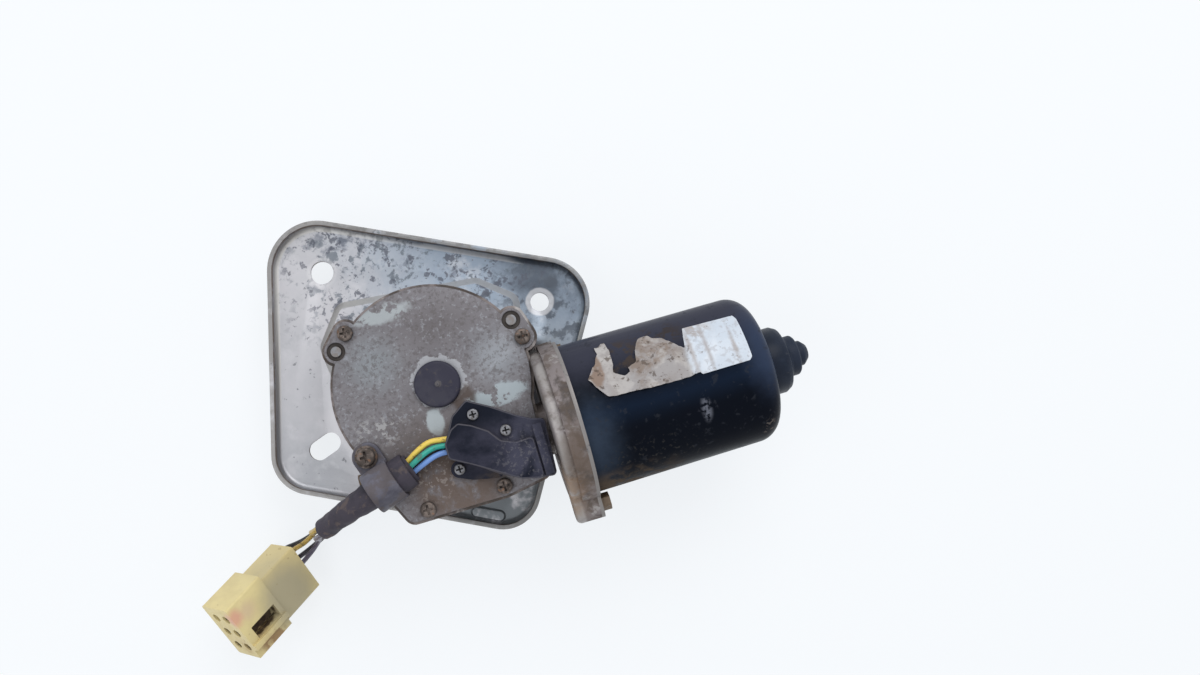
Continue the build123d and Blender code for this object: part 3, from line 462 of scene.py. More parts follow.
ZINC = Finish("zinc_plate", (0.475, 0.465, 0.485), roughness=0.42, metallic=0.85, depth=0.03, layers=(
    Layer((0.4, 0.4, 0.42), 0.6, (30, 0.5, 0.12)),
    Layer((0.23, 0.275, 0.335), spot=Spot((62, 62, 0), 74, 36, 34)),
    Layer((0.33, 0.37, 0.42), 0.6, (28, 0.52, 0.1), Spot((40, 70, 0), 70, 20, 20)),
    Layer((0.33, 0.335, 0.355), 0.9, spot=Spot((-74, -24, 0), 20, 16, 24)),
    Layer((0.56, 0.55, 0.57), 0.4, (60, 0.6, 0.08)),
    Layer((0.085, 0.1, 0.125), 0.95, (40, 0.43, 0.12), Spot((66, 44, 0), 22, 12, 24)),
    Layer((0.29, 0.33, 0.335), 0.8, (36, 0.5, 0.06), Spot((66, 10, 0), 12, 6, 14)),
    Layer((0.12, 0.135, 0.17), 0.85, (75, 0.585, 0.05), Spot((12, 76, 0), 44, 14, 30, (0.72, 1.6, 1)),
          roughness=0.6),
    Layer((0.13, 0.15, 0.175), 0.8, (170, 0.575, 0.04), Spot((10, 66, 0), 50, 18, 36, (0.8, 1, 1)),
          roughness=0.6),
    Layer((0.105, 0.12, 0.145), 0.85, (150, 0.545, 0.05), Spot((64, 28, 0), 28, 14, 30), roughness=0.6),
    Layer((0.1, 0.105, 0.13), 0.8, (260, 0.585, 0.03), Spot((8, 76, 0), 66, 18, 40), roughness=0.6),
    Layer((0.12, 0.12, 0.135), 0.6, (300, 0.655, 0.02), roughness=0.6),
    Layer((0.185, 0.205, 0.22), 0.95, (70, 0.45, 0.06), Spot((10, -66, 0), 26, 9, 16), metallic=0.4),
    Layer((0.215, 0.205, 0.195), 0.85, (70, 0.4, 0.12), Spot((0, 0, 8.6), 1.9, 0.4, 0.4, (0, 0, 1))),
    # Painted shadow: darkens the plate where the motor flange's shadow falls.
    Layer((0.06, 0.055, 0.055), spot=Spot((46, 4, 2), 6, 4), roughness=0.8, metallic=0.2),
    # Painted highlight: lightens the sloping edges of the raised pad.
    Layer((0.5, 0.51, 0.53), 0.75, spot=Spot((5, 12, 0), 58, 2), where=Where.SLOPES, roughness=0.6,
          metallic=0.35),
    # Painted highlight: lightens the rim's sloping inner edge at the top left.
    Layer((0.44, 0.425, 0.4), 0.7, spot=Spot((-70, 70, 5), 60, 30), where=Where.SLOPES),
    Layer((0.17, 0.125, 0.095), 0.85, (80, 0.42, 0.08), where=Where.WALLS, roughness=0.8, metallic=0.1),
    Layer((0.52, 0.52, 0.54), 0.8, spot=Spot((55.7, 27, 2), 6.8, 0.5, 1.4)),
    Layer((0.55, 0.54, 0.55), 0.4, spot=Spot((-40.5, 70.2, 2), 7.2, 0.7, 1.5)),
))

CAST = Finish("cast_alloy", (0.235, 0.205, 0.205), roughness=0.6, metallic=0.6, depth=0.14, fine=700,
    coarse=260, layers=(
    Layer((0.17, 0.14, 0.125), 0.75, (60, 0.5, 0.1), metallic=0.2),
    Layer((0.36, 0.34, 0.33), 0.7, (150, 0.6, 0.03), roughness=0.45),
    Layer(DARK_DIRT, 0.8, (70, 0.55, 0.06), roughness=0.85, metallic=0),
    Layer((0.1, 0.075, 0.06), 0.6, (240, 0.56, 0.04), roughness=0.85, metallic=0),
    Layer((0.4, 0.38, 0.37), 0.75, (90, 0.42, 0.1), Spot((43.6, 0, 0), 2, 0.8, 2, (1, 0, 0)), roughness=0.5),
    Layer((0.3, 0.175, 0.085), 0.6, (80, 0.45, 0.1), Spot((41, -60, 50), 12, 6, 12, (1.4, 1, 0.6)),
          roughness=0.85, metallic=0),
    # Painted shade on the housing wall between the gear cover and the motor flange.
    Layer((0.1, 0.08, 0.065), 0.75, spot=Spot((36, -14, 40), 10, 5), metallic=0),
    Layer((0.13, 0.092, 0.07), 0.75, (90, 0.46, 0.08), Spot((50, -48, 66), 16, 8, 8, (2.2, 1, 0.5)),
          roughness=0.8, metallic=0.1),
))

COVER = Finish("cover_steel", (0.16, 0.15, 0.162), roughness=0.52, metallic=0.35, depth=0.05, fine=1300,
    coarse=420, layers=(
    Layer((0.185, 0.175, 0.187), 0.8, (24, 0.5, 0.1)),
    Layer((0.265, 0.28, 0.305), 0.9, spot=Spot((28, 5, 49), 9, 9, 12)),
    Layer((0.235, 0.255, 0.275), 0.85, spot=Spot((-25, 17, 49), 9, 10, 12)),
    Layer((0.112, 0.1, 0.105), 0.8, spot=Spot((6, 25, 49), 8, 9, 10, (0.7, 1.3, 1))),
    Layer((0.105, 0.083, 0.076), 0.75, spot=Spot((-14, -24, 49), 14, 12, 14, (0.8, 1.1, 1))),
    Layer((0.085, 0.072, 0.072), 0.55, (640, 0.55, 0.06), metallic=0.2),
    Layer((0.3, 0.31, 0.34), 0.5, (560, 0.6, 0.05)),
    Layer((0.36, 0.41, 0.44), 0.9, (110, 0.45, 0.02), Spot((24, -11.5, 49), 7, 1, 9, (0.55, 1.5, 1)),
          roughness=0.4),
    Layer((0.34, 0.37, 0.385), 0.85, (130, 0.46, 0.03), Spot((-15, 36, 49), 6.5, 2, 8, (0.5, 1.7, 1)),
          roughness=0.4),
    Layer((0.37, 0.41, 0.43), 0.9, (110, 0.42, 0.02), Spot((-5.5, -15.5, 49), 4.6, 0.8, 5, (1.25, 0.75, 1))),
    Layer((0.38, 0.385, 0.41), 0.9, (260, 0.4, 0.02), Spot((1, 1, 49), 11.6, 0.3, 9), roughness=0.4),
    Layer((0.34, 0.335, 0.34), 0.85, (420, 0.555, 0.015), Spot((-30, -12, 49), 7, 5, 12, (0.7, 1.2, 1))),
    Layer((0.125, 0.088, 0.07), 0.85, (90, 0.42, 0.08), Spot((-4, -42, 49), 20, 7, 12), roughness=0.85,
          metallic=0),
    Layer((0.27, 0.23, 0.21), 0.8, (480, 0.585, 0.015), Spot((-14, -36, 49), 12, 6, 10)),
    Layer((0.085, 0.06, 0.05), 0.85, (140, 0.42, 0.05), Spot((9, -9, 49), 5.5, 1.6, 5), roughness=0.85,
          metallic=0),
    # Painted shade: darkens the cover's upright rim walls, for the shadowed gap round its edge.
    Layer((0.045, 0.036, 0.034), 0.8, where=Where.WALLS, roughness=0.85, metallic=0),
))

BLACK_PAINT = Finish("yoke_black", (0.0045, 0.006, 0.0105), roughness=0.3, specular=0.02, depth=0.02,
    fine=600, coarse=60, layers=(
    # Painted reflections: this layer and the next three are bluish sheen bands and reflected light on the
    # black paint, along the can, by the flange and at its far end.
    Layer((0.044, 0.046, 0.066), spot=Spot((90, -4, 0), 12, 9, 4, (0, 1, 0))),
    Layer((0.009, 0.017, 0.036), 0.8, spot=Spot((90, -33, 0), 4, 6, 3, (0, 1, 0))),
    Layer((0.048, 0.068, 0.105), 0.8, spot=Spot((57, -42, 60), 8, 9, 8, (1, 0.6, 0.4))),
    Layer((0.044, 0.062, 0.112), 0.75, spot=Spot((136, -24, 66), 8, 7, 5, (1, 0.5, 0.4))),
    Layer((0.016, 0.028, 0.034), 0.8, spot=Spot((110, -64, 30), 5, 3, 3, (0.1, 1, 0.3))),
    Layer((0.03, 0.033, 0.042), 0.5, (260, 0.62, 0.03), roughness=0.6),
    Layer((0.17, 0.18, 0.22), 0.8, (420, 0.5, 0.05), Spot((105.5, -43, 69), 2.6, 1.6, 1, (1.4, 0.55, 0.6)),
          roughness=0.6),
    Layer((0.14, 0.12, 0.11), 0.8, (300, 0.54, 0.02), Spot((131, -58, 58), 3, 1.2, 4, (1, 0.6, 0.6)),
          roughness=0.6),
    Layer((0.062, 0.048, 0.04), 0.85, (200, 0.49, 0.06), Spot((78, -12, 70), 8, 3, 9, (0.8, 1, 0.4)),
          roughness=0.8),
    Layer((0.05, 0.038, 0.03), 0.8, (160, 0.5, 0.04), Spot((96, -6, 68), 6, 3, 8, (0.5, 1, 0.4)),
          roughness=0.8),
    Layer((0.11, 0.078, 0.052), 0.75, (110, 0.46, 0.08), Spot((66, -62.5, 48), 5, 3.5, 5, (0.25, 1, 0.3)),
          roughness=0.8),
    Layer((0.05, 0.048, 0.046), 0.6, (640, 0.6, 0.03), Spot((80, -58, 60), 11, 6, 9, (0.5, 1, 0.5)),
          roughness=0.8),
    Layer((0.3, 0.28, 0.27), 0.85, (200, 0.34, 0.08), Spot((53.2, 0, 0), 1.1, 0.1, 0.3, (1, 0, 0)),
          roughness=0.5, metallic=0.4),
))

CAP_RUBBER = Finish("black_rubber", (0.032, 0.031, 0.05), roughness=0.5, specular=0.2, depth=0.05, fine=700,
    coarse=200, layers=(
    Layer((0.055, 0.053, 0.07), 0.6, (90, 0.52, 0.08), roughness=0.7),
    Layer((0.09, 0.08, 0.075), 0.4, (360, 0.63, 0.03), roughness=0.85),
    Layer((0.13, 0.12, 0.12), 0.7, (400, 0.42, 0.03), Spot((0.5, 0, 52.5), 1.6, 0.3, 1.5)),
))

BOOT_RUBBER = Finish("boot_rubber", (0.01, 0.016, 0.031), roughness=0.38, specular=0.16, depth=0.04,
    fine=600, coarse=160, layers=(
    Layer((0.024, 0.033, 0.055), 0.6, (60, 0.5, 0.1), roughness=0.6),
    Layer((0.07, 0.07, 0.08), 0.4, (300, 0.66, 0.03), roughness=0.85),
))

COVER_PLASTIC = Finish("cover_plastic", (0.0065, 0.0085, 0.017), roughness=0.36, specular=0.09, depth=0.05,
    fine=1100, coarse=300, layers=(
    Layer((0.046, 0.046, 0.07), 0.85, (40, 0.45, 0.12), Spot((10, -36, 60), 14, 6, 8, (0.75, 1.1, 1)),
          roughness=0.6),
    # Painted highlight: lightens the sloping step edges of the cover.
    Layer((0.1, 0.095, 0.11), 0.75, where=Where.SLOPES),
    Layer((0.065, 0.066, 0.098), 0.8, (60, 0.45, 0.1), Spot((30, -38, 58), 12, 6, 8, (1, 0.7, 1)),
          roughness=0.6),
    Layer((0.14, 0.135, 0.15), 0.5, (620, 0.57, 0.04), Spot((28, -40, 58), 12, 5, 10), roughness=0.7),
    Layer((0.1, 0.078, 0.066), 0.45, (200, 0.46, 0.06), where=Where.WALLS, roughness=0.8),
    Layer((0.1, 0.078, 0.066), 0.6, (120, 0.44, 0.06), Spot((14, -47, 54), 4.5, 2, 4, (0.4, 1, 1)),
          roughness=0.8),
))

STRAP = Finish("clamp_steel", (0.062, 0.06, 0.08), roughness=0.42, metallic=0.1, specular=0.3, depth=0.04,
    coarse=120, layers=(
    # Painted highlight on the strap's curve.
    Layer((0.19, 0.185, 0.235), 0.65, spot=Spot((-36, -34, 62), 3, 4, 4, (1, 1, 0.3))),
    Layer((0.16, 0.155, 0.19), 0.6, (60, 0.5, 0.1)),
    Layer((0.1, 0.08, 0.075), 0.6, (140, 0.52, 0.06), roughness=0.75),
))

SLEEVE = Finish("sleeve_vinyl", (0.052, 0.045, 0.06), roughness=0.6, specular=0.22, depth=0.14, fine=500,
    coarse=140, layers=(
    Layer((0.028, 0.026, 0.036), 0.7, (80, 0.5, 0.08)),
    Layer((0.13, 0.1, 0.09), 0.6, (170, 0.56, 0.05), roughness=0.8),
))

# Where shade is painted inside the connector: six pin holes, then three spots along the side window.
SHADED_CAVITIES = (
    ((-119.6, -88.7, 14.6), 2.9), ((-125.3, -86.9, 8.9), 2.9), ((-121.3, -80.9, 18.7), 2.9),
    ((-127.0, -79.1, 13.1), 2.9), ((-123.1, -73.1, 22.9), 2.9), ((-128.7, -71.4, 17.3), 2.9),
    ((-109.9, -78.2, 11.1), 4.1), ((-112.7, -80.0, 13.4), 4.1), ((-115.5, -81.8, 15.6), 4.1),
)

NYLON = Finish("connector_nylon", (0.7, 0.575, 0.28), roughness=0.42, specular=0.35, depth=0.02, coarse=120,
    layers=(
    Layer((0.84, 0.71, 0.35), 0.7, (40, 0.48, 0.12), Spot((-122, -68, 22), 17, 7, 8)),
    Layer((0.4, 0.355, 0.24), 0.85, spot=Spot((-102, -72, 4), 15, 7, 6)),
    Layer((0.36, 0.23, 0.13), 0.75, (120, 0.44, 0.06), Spot((-117, -86, 10), 8, 3.5, 7), roughness=0.7),
    Layer((0.66, 0.47, 0.33), 0.6, spot=Spot((-114, -73, 25), 4, 4, 5)),
    Layer((0.72, 0.33, 0.25), 0.75, (90, 0.42, 0.06), Spot((-120.5, -75, 28), 4, 2.5, 4)),
    Layer((0.3, 0.17, 0.08), 0.8, (160, 0.48, 0.05), Spot((-110.5, -91, 9), 7, 2, 5), roughness=0.7),
    Layer((0.34, 0.22, 0.1), 0.4, (260, 0.66, 0.03), roughness=0.7),
    # Painted shade deep in the pin holes and the window.
    *(Layer((0.045, 0.026, 0.016), 0.93, spot=Spot(place, reach, 0.4), roughness=0.7)
      for place, reach in SHADED_CAVITIES),
))

SCREW = Finish("screw_steel", (0.15, 0.12, 0.105), roughness=0.5, metallic=0.6, depth=0.08, coarse=500,
    layers=(
    Layer(DARK_DIRT, 0.8, (300, 0.5, 0.06), roughness=0.85, metallic=0.1),
    Layer((0.25, 0.12, 0.06), 0.6, (420, 0.6, 0.04), metallic=0),
    # Painted shade in the cross recesses and on the sides of the heads.
    Layer((0.014, 0.012, 0.011), where=Where.WALLS, roughness=0.9, metallic=0),
))

BRIGHT_SCREW = Finish("bright_screw", (0.2, 0.2, 0.215), roughness=0.4, metallic=0.6, specular=0.3,
    depth=0.02, layers=(
    Layer((0.08, 0.07, 0.065), 0.7, (620, 0.54, 0.04)),
    # Painted shade in the cross recesses and on the sides of the heads.
    Layer((0.012, 0.012, 0.014), where=Where.WALLS, roughness=0.8, metallic=0),
    # Painted shade on the floors of the cross recesses, at their two heights.
    *(Layer((0.012, 0.012, 0.014), spot=Spot((0, 0, recess), 0.35, 0.1, squash=(0, 0, 1)),
            roughness=0.8, metallic=0)
      for recess in (52.5, 58.3)),
))

STEEL = Finish("ground_steel", (0.22, 0.22, 0.23), roughness=0.4, metallic=0.8, depth=0.015, layers=(
    Layer((0.18, 0.155, 0.14), 0.7, (300, 0.52, 0.08), roughness=0.55),
))

PAPER = Finish("label_paper", (0.6, 0.66, 0.74), roughness=0.38, specular=0.3, depth=0.06, coarse=220,
    layers=(
    Layer((0.74, 0.78, 0.84), 0.6, (60, 0.52, 0.1), roughness=0.3),
    Layer((0.4, 0.36, 0.35), 0.9, (90, 0.5, 0.05), Spot((108, -10, 68), 6, 3, 6, (0.7, 1.2, 0.4))),
    Layer((0.46, 0.47, 0.51), 0.6, (330, 0.565, 0.05)),
    # Painted shade along three creases in the paper.
    Layer((0.36, 0.33, 0.33), 0.8, spot=Spot((113, -19, 68), 0.7, 0.9, 2.4, (1, 0.07, 0.05))),
    Layer((0.33, 0.28, 0.26), 0.7, spot=Spot((124, -20, 68), 0.6, 0.8, 3.4, (1, 0.08, 0.05))),
    Layer((0.38, 0.33, 0.31), 0.7, spot=Spot((106.4, -19, 68), 0.9, 0.8, 2, (1, 0.06, 0.05))),
    Layer((0.36, 0.335, 0.33), 0.95, spot=Spot((86, -18, 68), 18, 1.5, 5, (1, 0.5, 0.3)), roughness=0.8),
    Layer((0.38, 0.35, 0.34), 0.9, spot=Spot((66, -14, 68), 10, 2, 4, (1, 0.5, 0.3)), roughness=0.8),
    Layer((0.5, 0.475, 0.46), 0.8, (110, 0.53, 0.06), Spot((80, -18, 68), 24, 3, 5, (1, 0.5, 0.3)),
          roughness=0.7),
    Layer((0.22, 0.16, 0.12), 0.75, (100, 0.52, 0.09), Spot((89, -13, 68), 12, 4, 8, (1, 0.8, 0.3)),
          roughness=0.85),
    Layer((0.25, 0.17, 0.125), 0.85, (100, 0.42, 0.05),
          Spot((65.5, -13.5, 68), 4.6, 0.8, 3, (1.3, 0.55, 0.3)), roughness=0.85),
    Layer((0.1, 0.075, 0.06), 0.75, (300, 0.6, 0.03), Spot((80, -14, 68), 26, 3, 5, (1, 0.5, 0.3)),
          roughness=0.85),
    Layer((0.16, 0.12, 0.1), 0.6, (380, 0.63, 0.03), roughness=0.85),
))


def sheath(name: str, colour: Triple, far: Triple) -> Finish:
    """Make the finish of one wire's insulation, which takes another colour towards the connector.

    Args:
        name: The material slot.
        colour: The clean colour, as it leaves the terminal cover.
        far: The colour near the connector.

    Returns:
        The finish.
    """
    return Finish(
        name, colour, roughness=0.38, depth=0.02, coarse=200, layers=(
            Layer(far, spot=Spot((-88, -55, 10), 42, 6, 2)),
            Layer((0.1, 0.08, 0.06), 0.6, (260, 0.6, 0.04), roughness=0.8),
        ))


WIRE_FINISHES = {
    colour: sheath(f"wire_{colour}", clean, far) for colour, clean, far in (
        ("yellow", (0.83, 0.6, 0.1), (0.5, 0.34, 0.08)),
        ("green", (0.02, 0.36, 0.28), (0.125, 0.11, 0.155)),
        ("blue", (0.16, 0.3, 0.66), (0.035, 0.03, 0.045)),
        ("black", (0.02, 0.02, 0.025), (0.03, 0.03, 0.035)),
    )
}


def plain(name: str, colour: Triple, roughness: float, metallic: float = 0) -> Finish:
    """Make a finish for an inner piece: one colour with a little mottling.

    Args:
        name: The material's name.
        colour: The base colour.
        roughness: The base roughness.
        metallic: The base metallic value.

    Returns:
        The finish.
    """
    darker = tuple(value * 0.6 for value in colour)
    return Finish(
        name, colour, roughness=roughness, metallic=metallic, depth=0.03,
        layers=(Layer(darker, 0.6, (120, 0.55, 0.08)),))


INNER_PIECES = {
    ("cover_gasket",): plain("gasket_paper", (0.06, 0.05, 0.045), 0.8),
    ("gear_wheel",): plain("gear_nylon", (0.72, 0.69, 0.58), 0.45),
    ("output_bushes", "rear_bearing", "front_bearing", "worm_end_bearing"):
        plain("sintered_bronze", (0.50, 0.36, 0.18), 0.5, 0.9),
    ("park_cam_disc", "park_contacts", "commutator", "brush_holders", "connector_terminals"):
        plain("contact_brass", (0.62, 0.47, 0.20), 0.35, 1.0),
    ("contact_carrier", "brush_plate", "terminal_board"):
        plain("switch_plastic", (0.16, 0.10, 0.06), 0.55),
    ("armature_core",): plain("core_iron", (0.16, 0.16, 0.17), 0.5, 0.8),
    ("armature_windings",): plain("copper_wire", (0.60, 0.28, 0.14), 0.4, 0.9),
    ("magnets",): plain("ferrite", (0.07, 0.07, 0.08), 0.6, 0.2),
    ("brushes",): plain("carbon", (0.05, 0.05, 0.05), 0.6, 0.1),
    ("plate_bolts", "yoke_bolts", "thrust_screw"): plain("bolt_steel", (0.19, 0.135, 0.09), 0.6, 0.2),
    (
        "thrust_washer", "output_shaft", "output_circlip", "boss_washer", "armature_shaft", "magnet_clips",
        "bearing_retainer", "thrust_ball", "brush_springs", "locating_pins",
    ): STEEL,
    ("shaft_seal",): CAP_RUBBER,
}


# ---- Sub-assemblies ----


@dataclass
class Workshop:
    """What every sub-assembly works with: the frame, the shared effects and the materials made so far."""

    frame: dict
    effects: Effects
    materials: dict[str, bpy.types.Material] = field(default_factory=dict)
    weld: float = 0.004 * MM
    flat_turn: float = math.radians(0.6)
    edge_turn: float = math.radians(32.0)
    pressed_turn: float = math.radians(22.0)
    shortest_edge: float = 0.4 * MM

    def material(self, finish: Finish) -> bpy.types.Material:
        """Give a finish's material, made once.

        Args:
            finish: The finish.

        Returns:
            Its material.
        """
        if finish.name not in self.materials:
            self.materials[finish.name] = finish.build(self.effects)
        return self.materials[finish.name]

    def coat(self, node: str, finish: Finish) -> None:
        """Give a CAD node a finish.

        Args:
            node: The node's name.
            finish: Its finish.
        """
        mesh = self.frame["nodes"][node].data
        if not mesh.materials:
            mesh.materials.append(None)
        for index in range(len(mesh.materials)):
            mesh.materials[index] = self.material(finish)
        LOG.info("%s keeps its CAD shape in %s", node, finish.name)

    def refine(self, node: str, finish: Finish, edge: float, segments: int = 2, pressed: float = 0) -> Piece:
        """Copy a CAD node, weld it and round its edges.

        Args:
            node: The node that the piece replaces.
            finish: The piece's finish.
            edge: The width of the rounded edges, in millimetres.
            segments: The number of faces across each rounded edge.
            pressed: The width of the soft edges of its pressed forms, in millimetres.

        Returns:
            The new piece.
        """
        mesh = self.frame["nodes"][node].data.copy()
        piece = bpy.data.objects.new(f"{node}_dressed", mesh)
        bpy.context.scene.collection.objects.link(piece)
        mesh.materials.clear()
        activate(piece)
        bpy.ops.mesh.customdata_custom_splitnormals_clear()
        with editing(piece):
            bpy.ops.mesh.remove_doubles(threshold=self.weld)
            bpy.ops.mesh.dissolve_limited(angle_limit=self.flat_turn)
        if pressed:
            self.soften(piece, pressed * MM)
        bevel = piece.modifiers.new("edges", "BEVEL")
        bevel.width = edge * MM
        bevel.segments = segments
        bevel.limit_method = "ANGLE"
        bevel.angle_limit = self.edge_turn
        apply_modifiers(piece)
        shade_smooth(piece)
        self.finish_piece(piece, finish, node)
        return piece

    def soften(self, piece: Piece, width: float) -> None:
        """Round the edges between flat sheet and the slopes pressed into it.

        Args:
            piece: The piece of sheet metal.
            width: The width of the rounding.
        """
        with editing(piece):
            bpy.ops.mesh.select_all(action="DESELECT")
            bpy.ops.mesh.select_mode(type="EDGE")
            sheet = bmesh.from_edit_mesh(piece.data)
            for edge in sheet.edges:
                if len(edge.link_faces) != 2:
                    continue
                low, high = sorted(abs(face.normal.z) for face in edge.link_faces)
                if 0.4 < low < 0.9 < 0.995 < high and edge.calc_length() > self.shortest_edge:
                    edge.select = edge.calc_face_angle() > self.pressed_turn
            bmesh.update_edit_mesh(piece.data)
            bpy.ops.mesh.bevel(offset=width, segments=4, affect="EDGES", clamp_overlap=True)
            bpy.ops.mesh.select_mode(type="VERT")

    def finish_piece(self, piece: Piece, finish: Finish, *nodes: str) -> None:
        """Dress a new piece, hide the CAD nodes that it stands for and let it ride.

        Args:
            piece: The piece.
            finish: Its finish.
            *nodes: The CAD nodes that it stands for.
        """
        piece.data.materials.clear()
        piece.data.materials.append(self.material(finish))
        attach(piece, STILL_BODY)
        if nodes:
            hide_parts(*nodes)
        LOG.info("%s is dressed in %s", piece.name, finish.name)


@dataclass
class Assembly:
    """A sub-assembly, dressed in the workshop."""

    shop: Workshop


@dataclass
class PlateAndGearbox(Assembly):
    """The mounting plate, the cast gearbox, its cover, cap, cover screws and clamp screw."""

    plate_edge: float = 0.5
    pad_edge: float = 1.8
    cast_edge: float = 0.5
    cover_edge: float = 0.5
    cap_edge: float = 0.3
    screw_edge: float = 0.15

    def build(self) -> None:
        """Dress the sub-assembly."""
        self.shop.refine("mounting_plate", ZINC, self.plate_edge, 3, self.pad_edge)
        self.shop.refine("gear_housing", CAST, self.cast_edge)
        self.shop.refine("gear_cover", COVER, self.cover_edge, 3)
        self.shop.refine("cover_cap", CAP_RUBBER, self.cap_edge)
        for node in ("cover_screws", "clamp_screw"):
            self.shop.refine(node, SCREW, self.screw_edge)


@dataclass
class TerminalCover(Assembly):
    """The plastic cover over the terminals, and its bright screws."""

    edge: float = 0.7
    screw_edge: float = 0.12

    def build(self) -> None:
        """Dress the sub-assembly."""
        self.shop.refine("terminal_cover", COVER_PLASTIC, self.edge, 3)
        self.shop.refine("terminal_screws", BRIGHT_SCREW, self.screw_edge)


def in_metres(*points: Triple) -> tuple[Triple, ...]:
    """Turn points from millimetres, given to a tenth, into metres."""
    return tuple(tuple(round(value * MM, 4) for value in point) for point in points)


SLEEVE_ROUTE = in_metres(
    (-20.0, -31.3, 57.3), (-32.2, -35.2, 57.3), (-49.0, -40.6, 57.3), (-66.5, -46.4, 43.0),
)

WIRE_ROUTES = {
    "yellow": in_metres(
        (6.0, -25.2, 54.6), (-4.5, -23.7, 54.6), (-10.2, -22.8, 55.6), (-16.0, -25.2, 56.6),
        (-23.6, -29.9, 57.3), (-32.9, -33.0, 57.9), (-50.0, -38.7, 58.4), (-68.2, -45.2, 44.1),
        (-73.6, -46.7, 34.7), (-76.9, -47.1, 21.9), (-78.8, -47.6, 9.7), (-80.0, -48.1, 0.0),
        (-82.0, -49.1, -7.6), (-85.7, -50.9, -10.8), (-89.1, -52.6, -9.3), (-93.3, -53.6, -1.1),
        (-98.8, -57.3, 3.4),
    ),
    "green": in_metres(
        (6.0, -27.8, 54.7), (-4.5, -26.4, 54.7), (-9.6, -25.9, 56.4), (-15.2, -28.0, 58.4),
        (-22.9, -32.2, 59.7), (-32.0, -35.8, 59.6), (-49.3, -41.9, 59.3), (-67.2, -48.4, 44.1),
        (-72.6, -49.9, 34.6), (-75.7, -50.4, 21.8), (-77.5, -51.1, 9.8), (-78.4, -51.7, 0.1),
        (-80.1, -52.7, -7.5), (-83.1, -54.8, -11.2), (-86.5, -57.6, -11.5), (-91.6, -61.4, -5.2),
        (-97.1, -65.1, -0.8),
    ),
    "blue": in_metres(
        (6.0, -30.4, 54.6), (-4.5, -29.2, 54.6), (-8.9, -29.3, 56.0), (-14.4, -31.2, 57.0),
        (-22.2, -34.5, 57.3), (-31.5, -37.4, 56.7), (-48.0, -42.5, 56.2), (-64.8, -47.6, 41.9),
        (-69.6, -48.9, 33.3), (-72.5, -49.3, 21.1), (-74.1, -49.8, 9.3), (-75.0, -50.2, -0.6),
        (-76.9, -51.2, -9.4), (-81.7, -53.4, -15.2), (-89.0, -56.6, -16.6), (-97.3, -59.7, -10.9),
        (-102.8, -63.3, -6.4),
    ),
    "black": in_metres(
        (6.0, -26.6, 52.0), (-4.5, -27.9, 52.0), (-8.8, -28.4, 52.9), (-14.6, -29.8, 54.2),
        (-22.9, -32.2, 54.9), (-32.4, -34.6, 55.0), (-48.7, -39.3, 55.3), (-65.8, -44.4, 41.9),
        (-70.6, -45.7, 33.4), (-73.7, -46.0, 21.2), (-75.5, -46.3, 9.3), (-76.6, -46.7, -0.7),
        (-78.9, -47.5, -9.6), (-84.3, -49.6, -14.8), (-91.5, -51.6, -14.3), (-99.0, -51.9, -6.7),
        (-104.5, -55.5, -2.2),
    ),
}


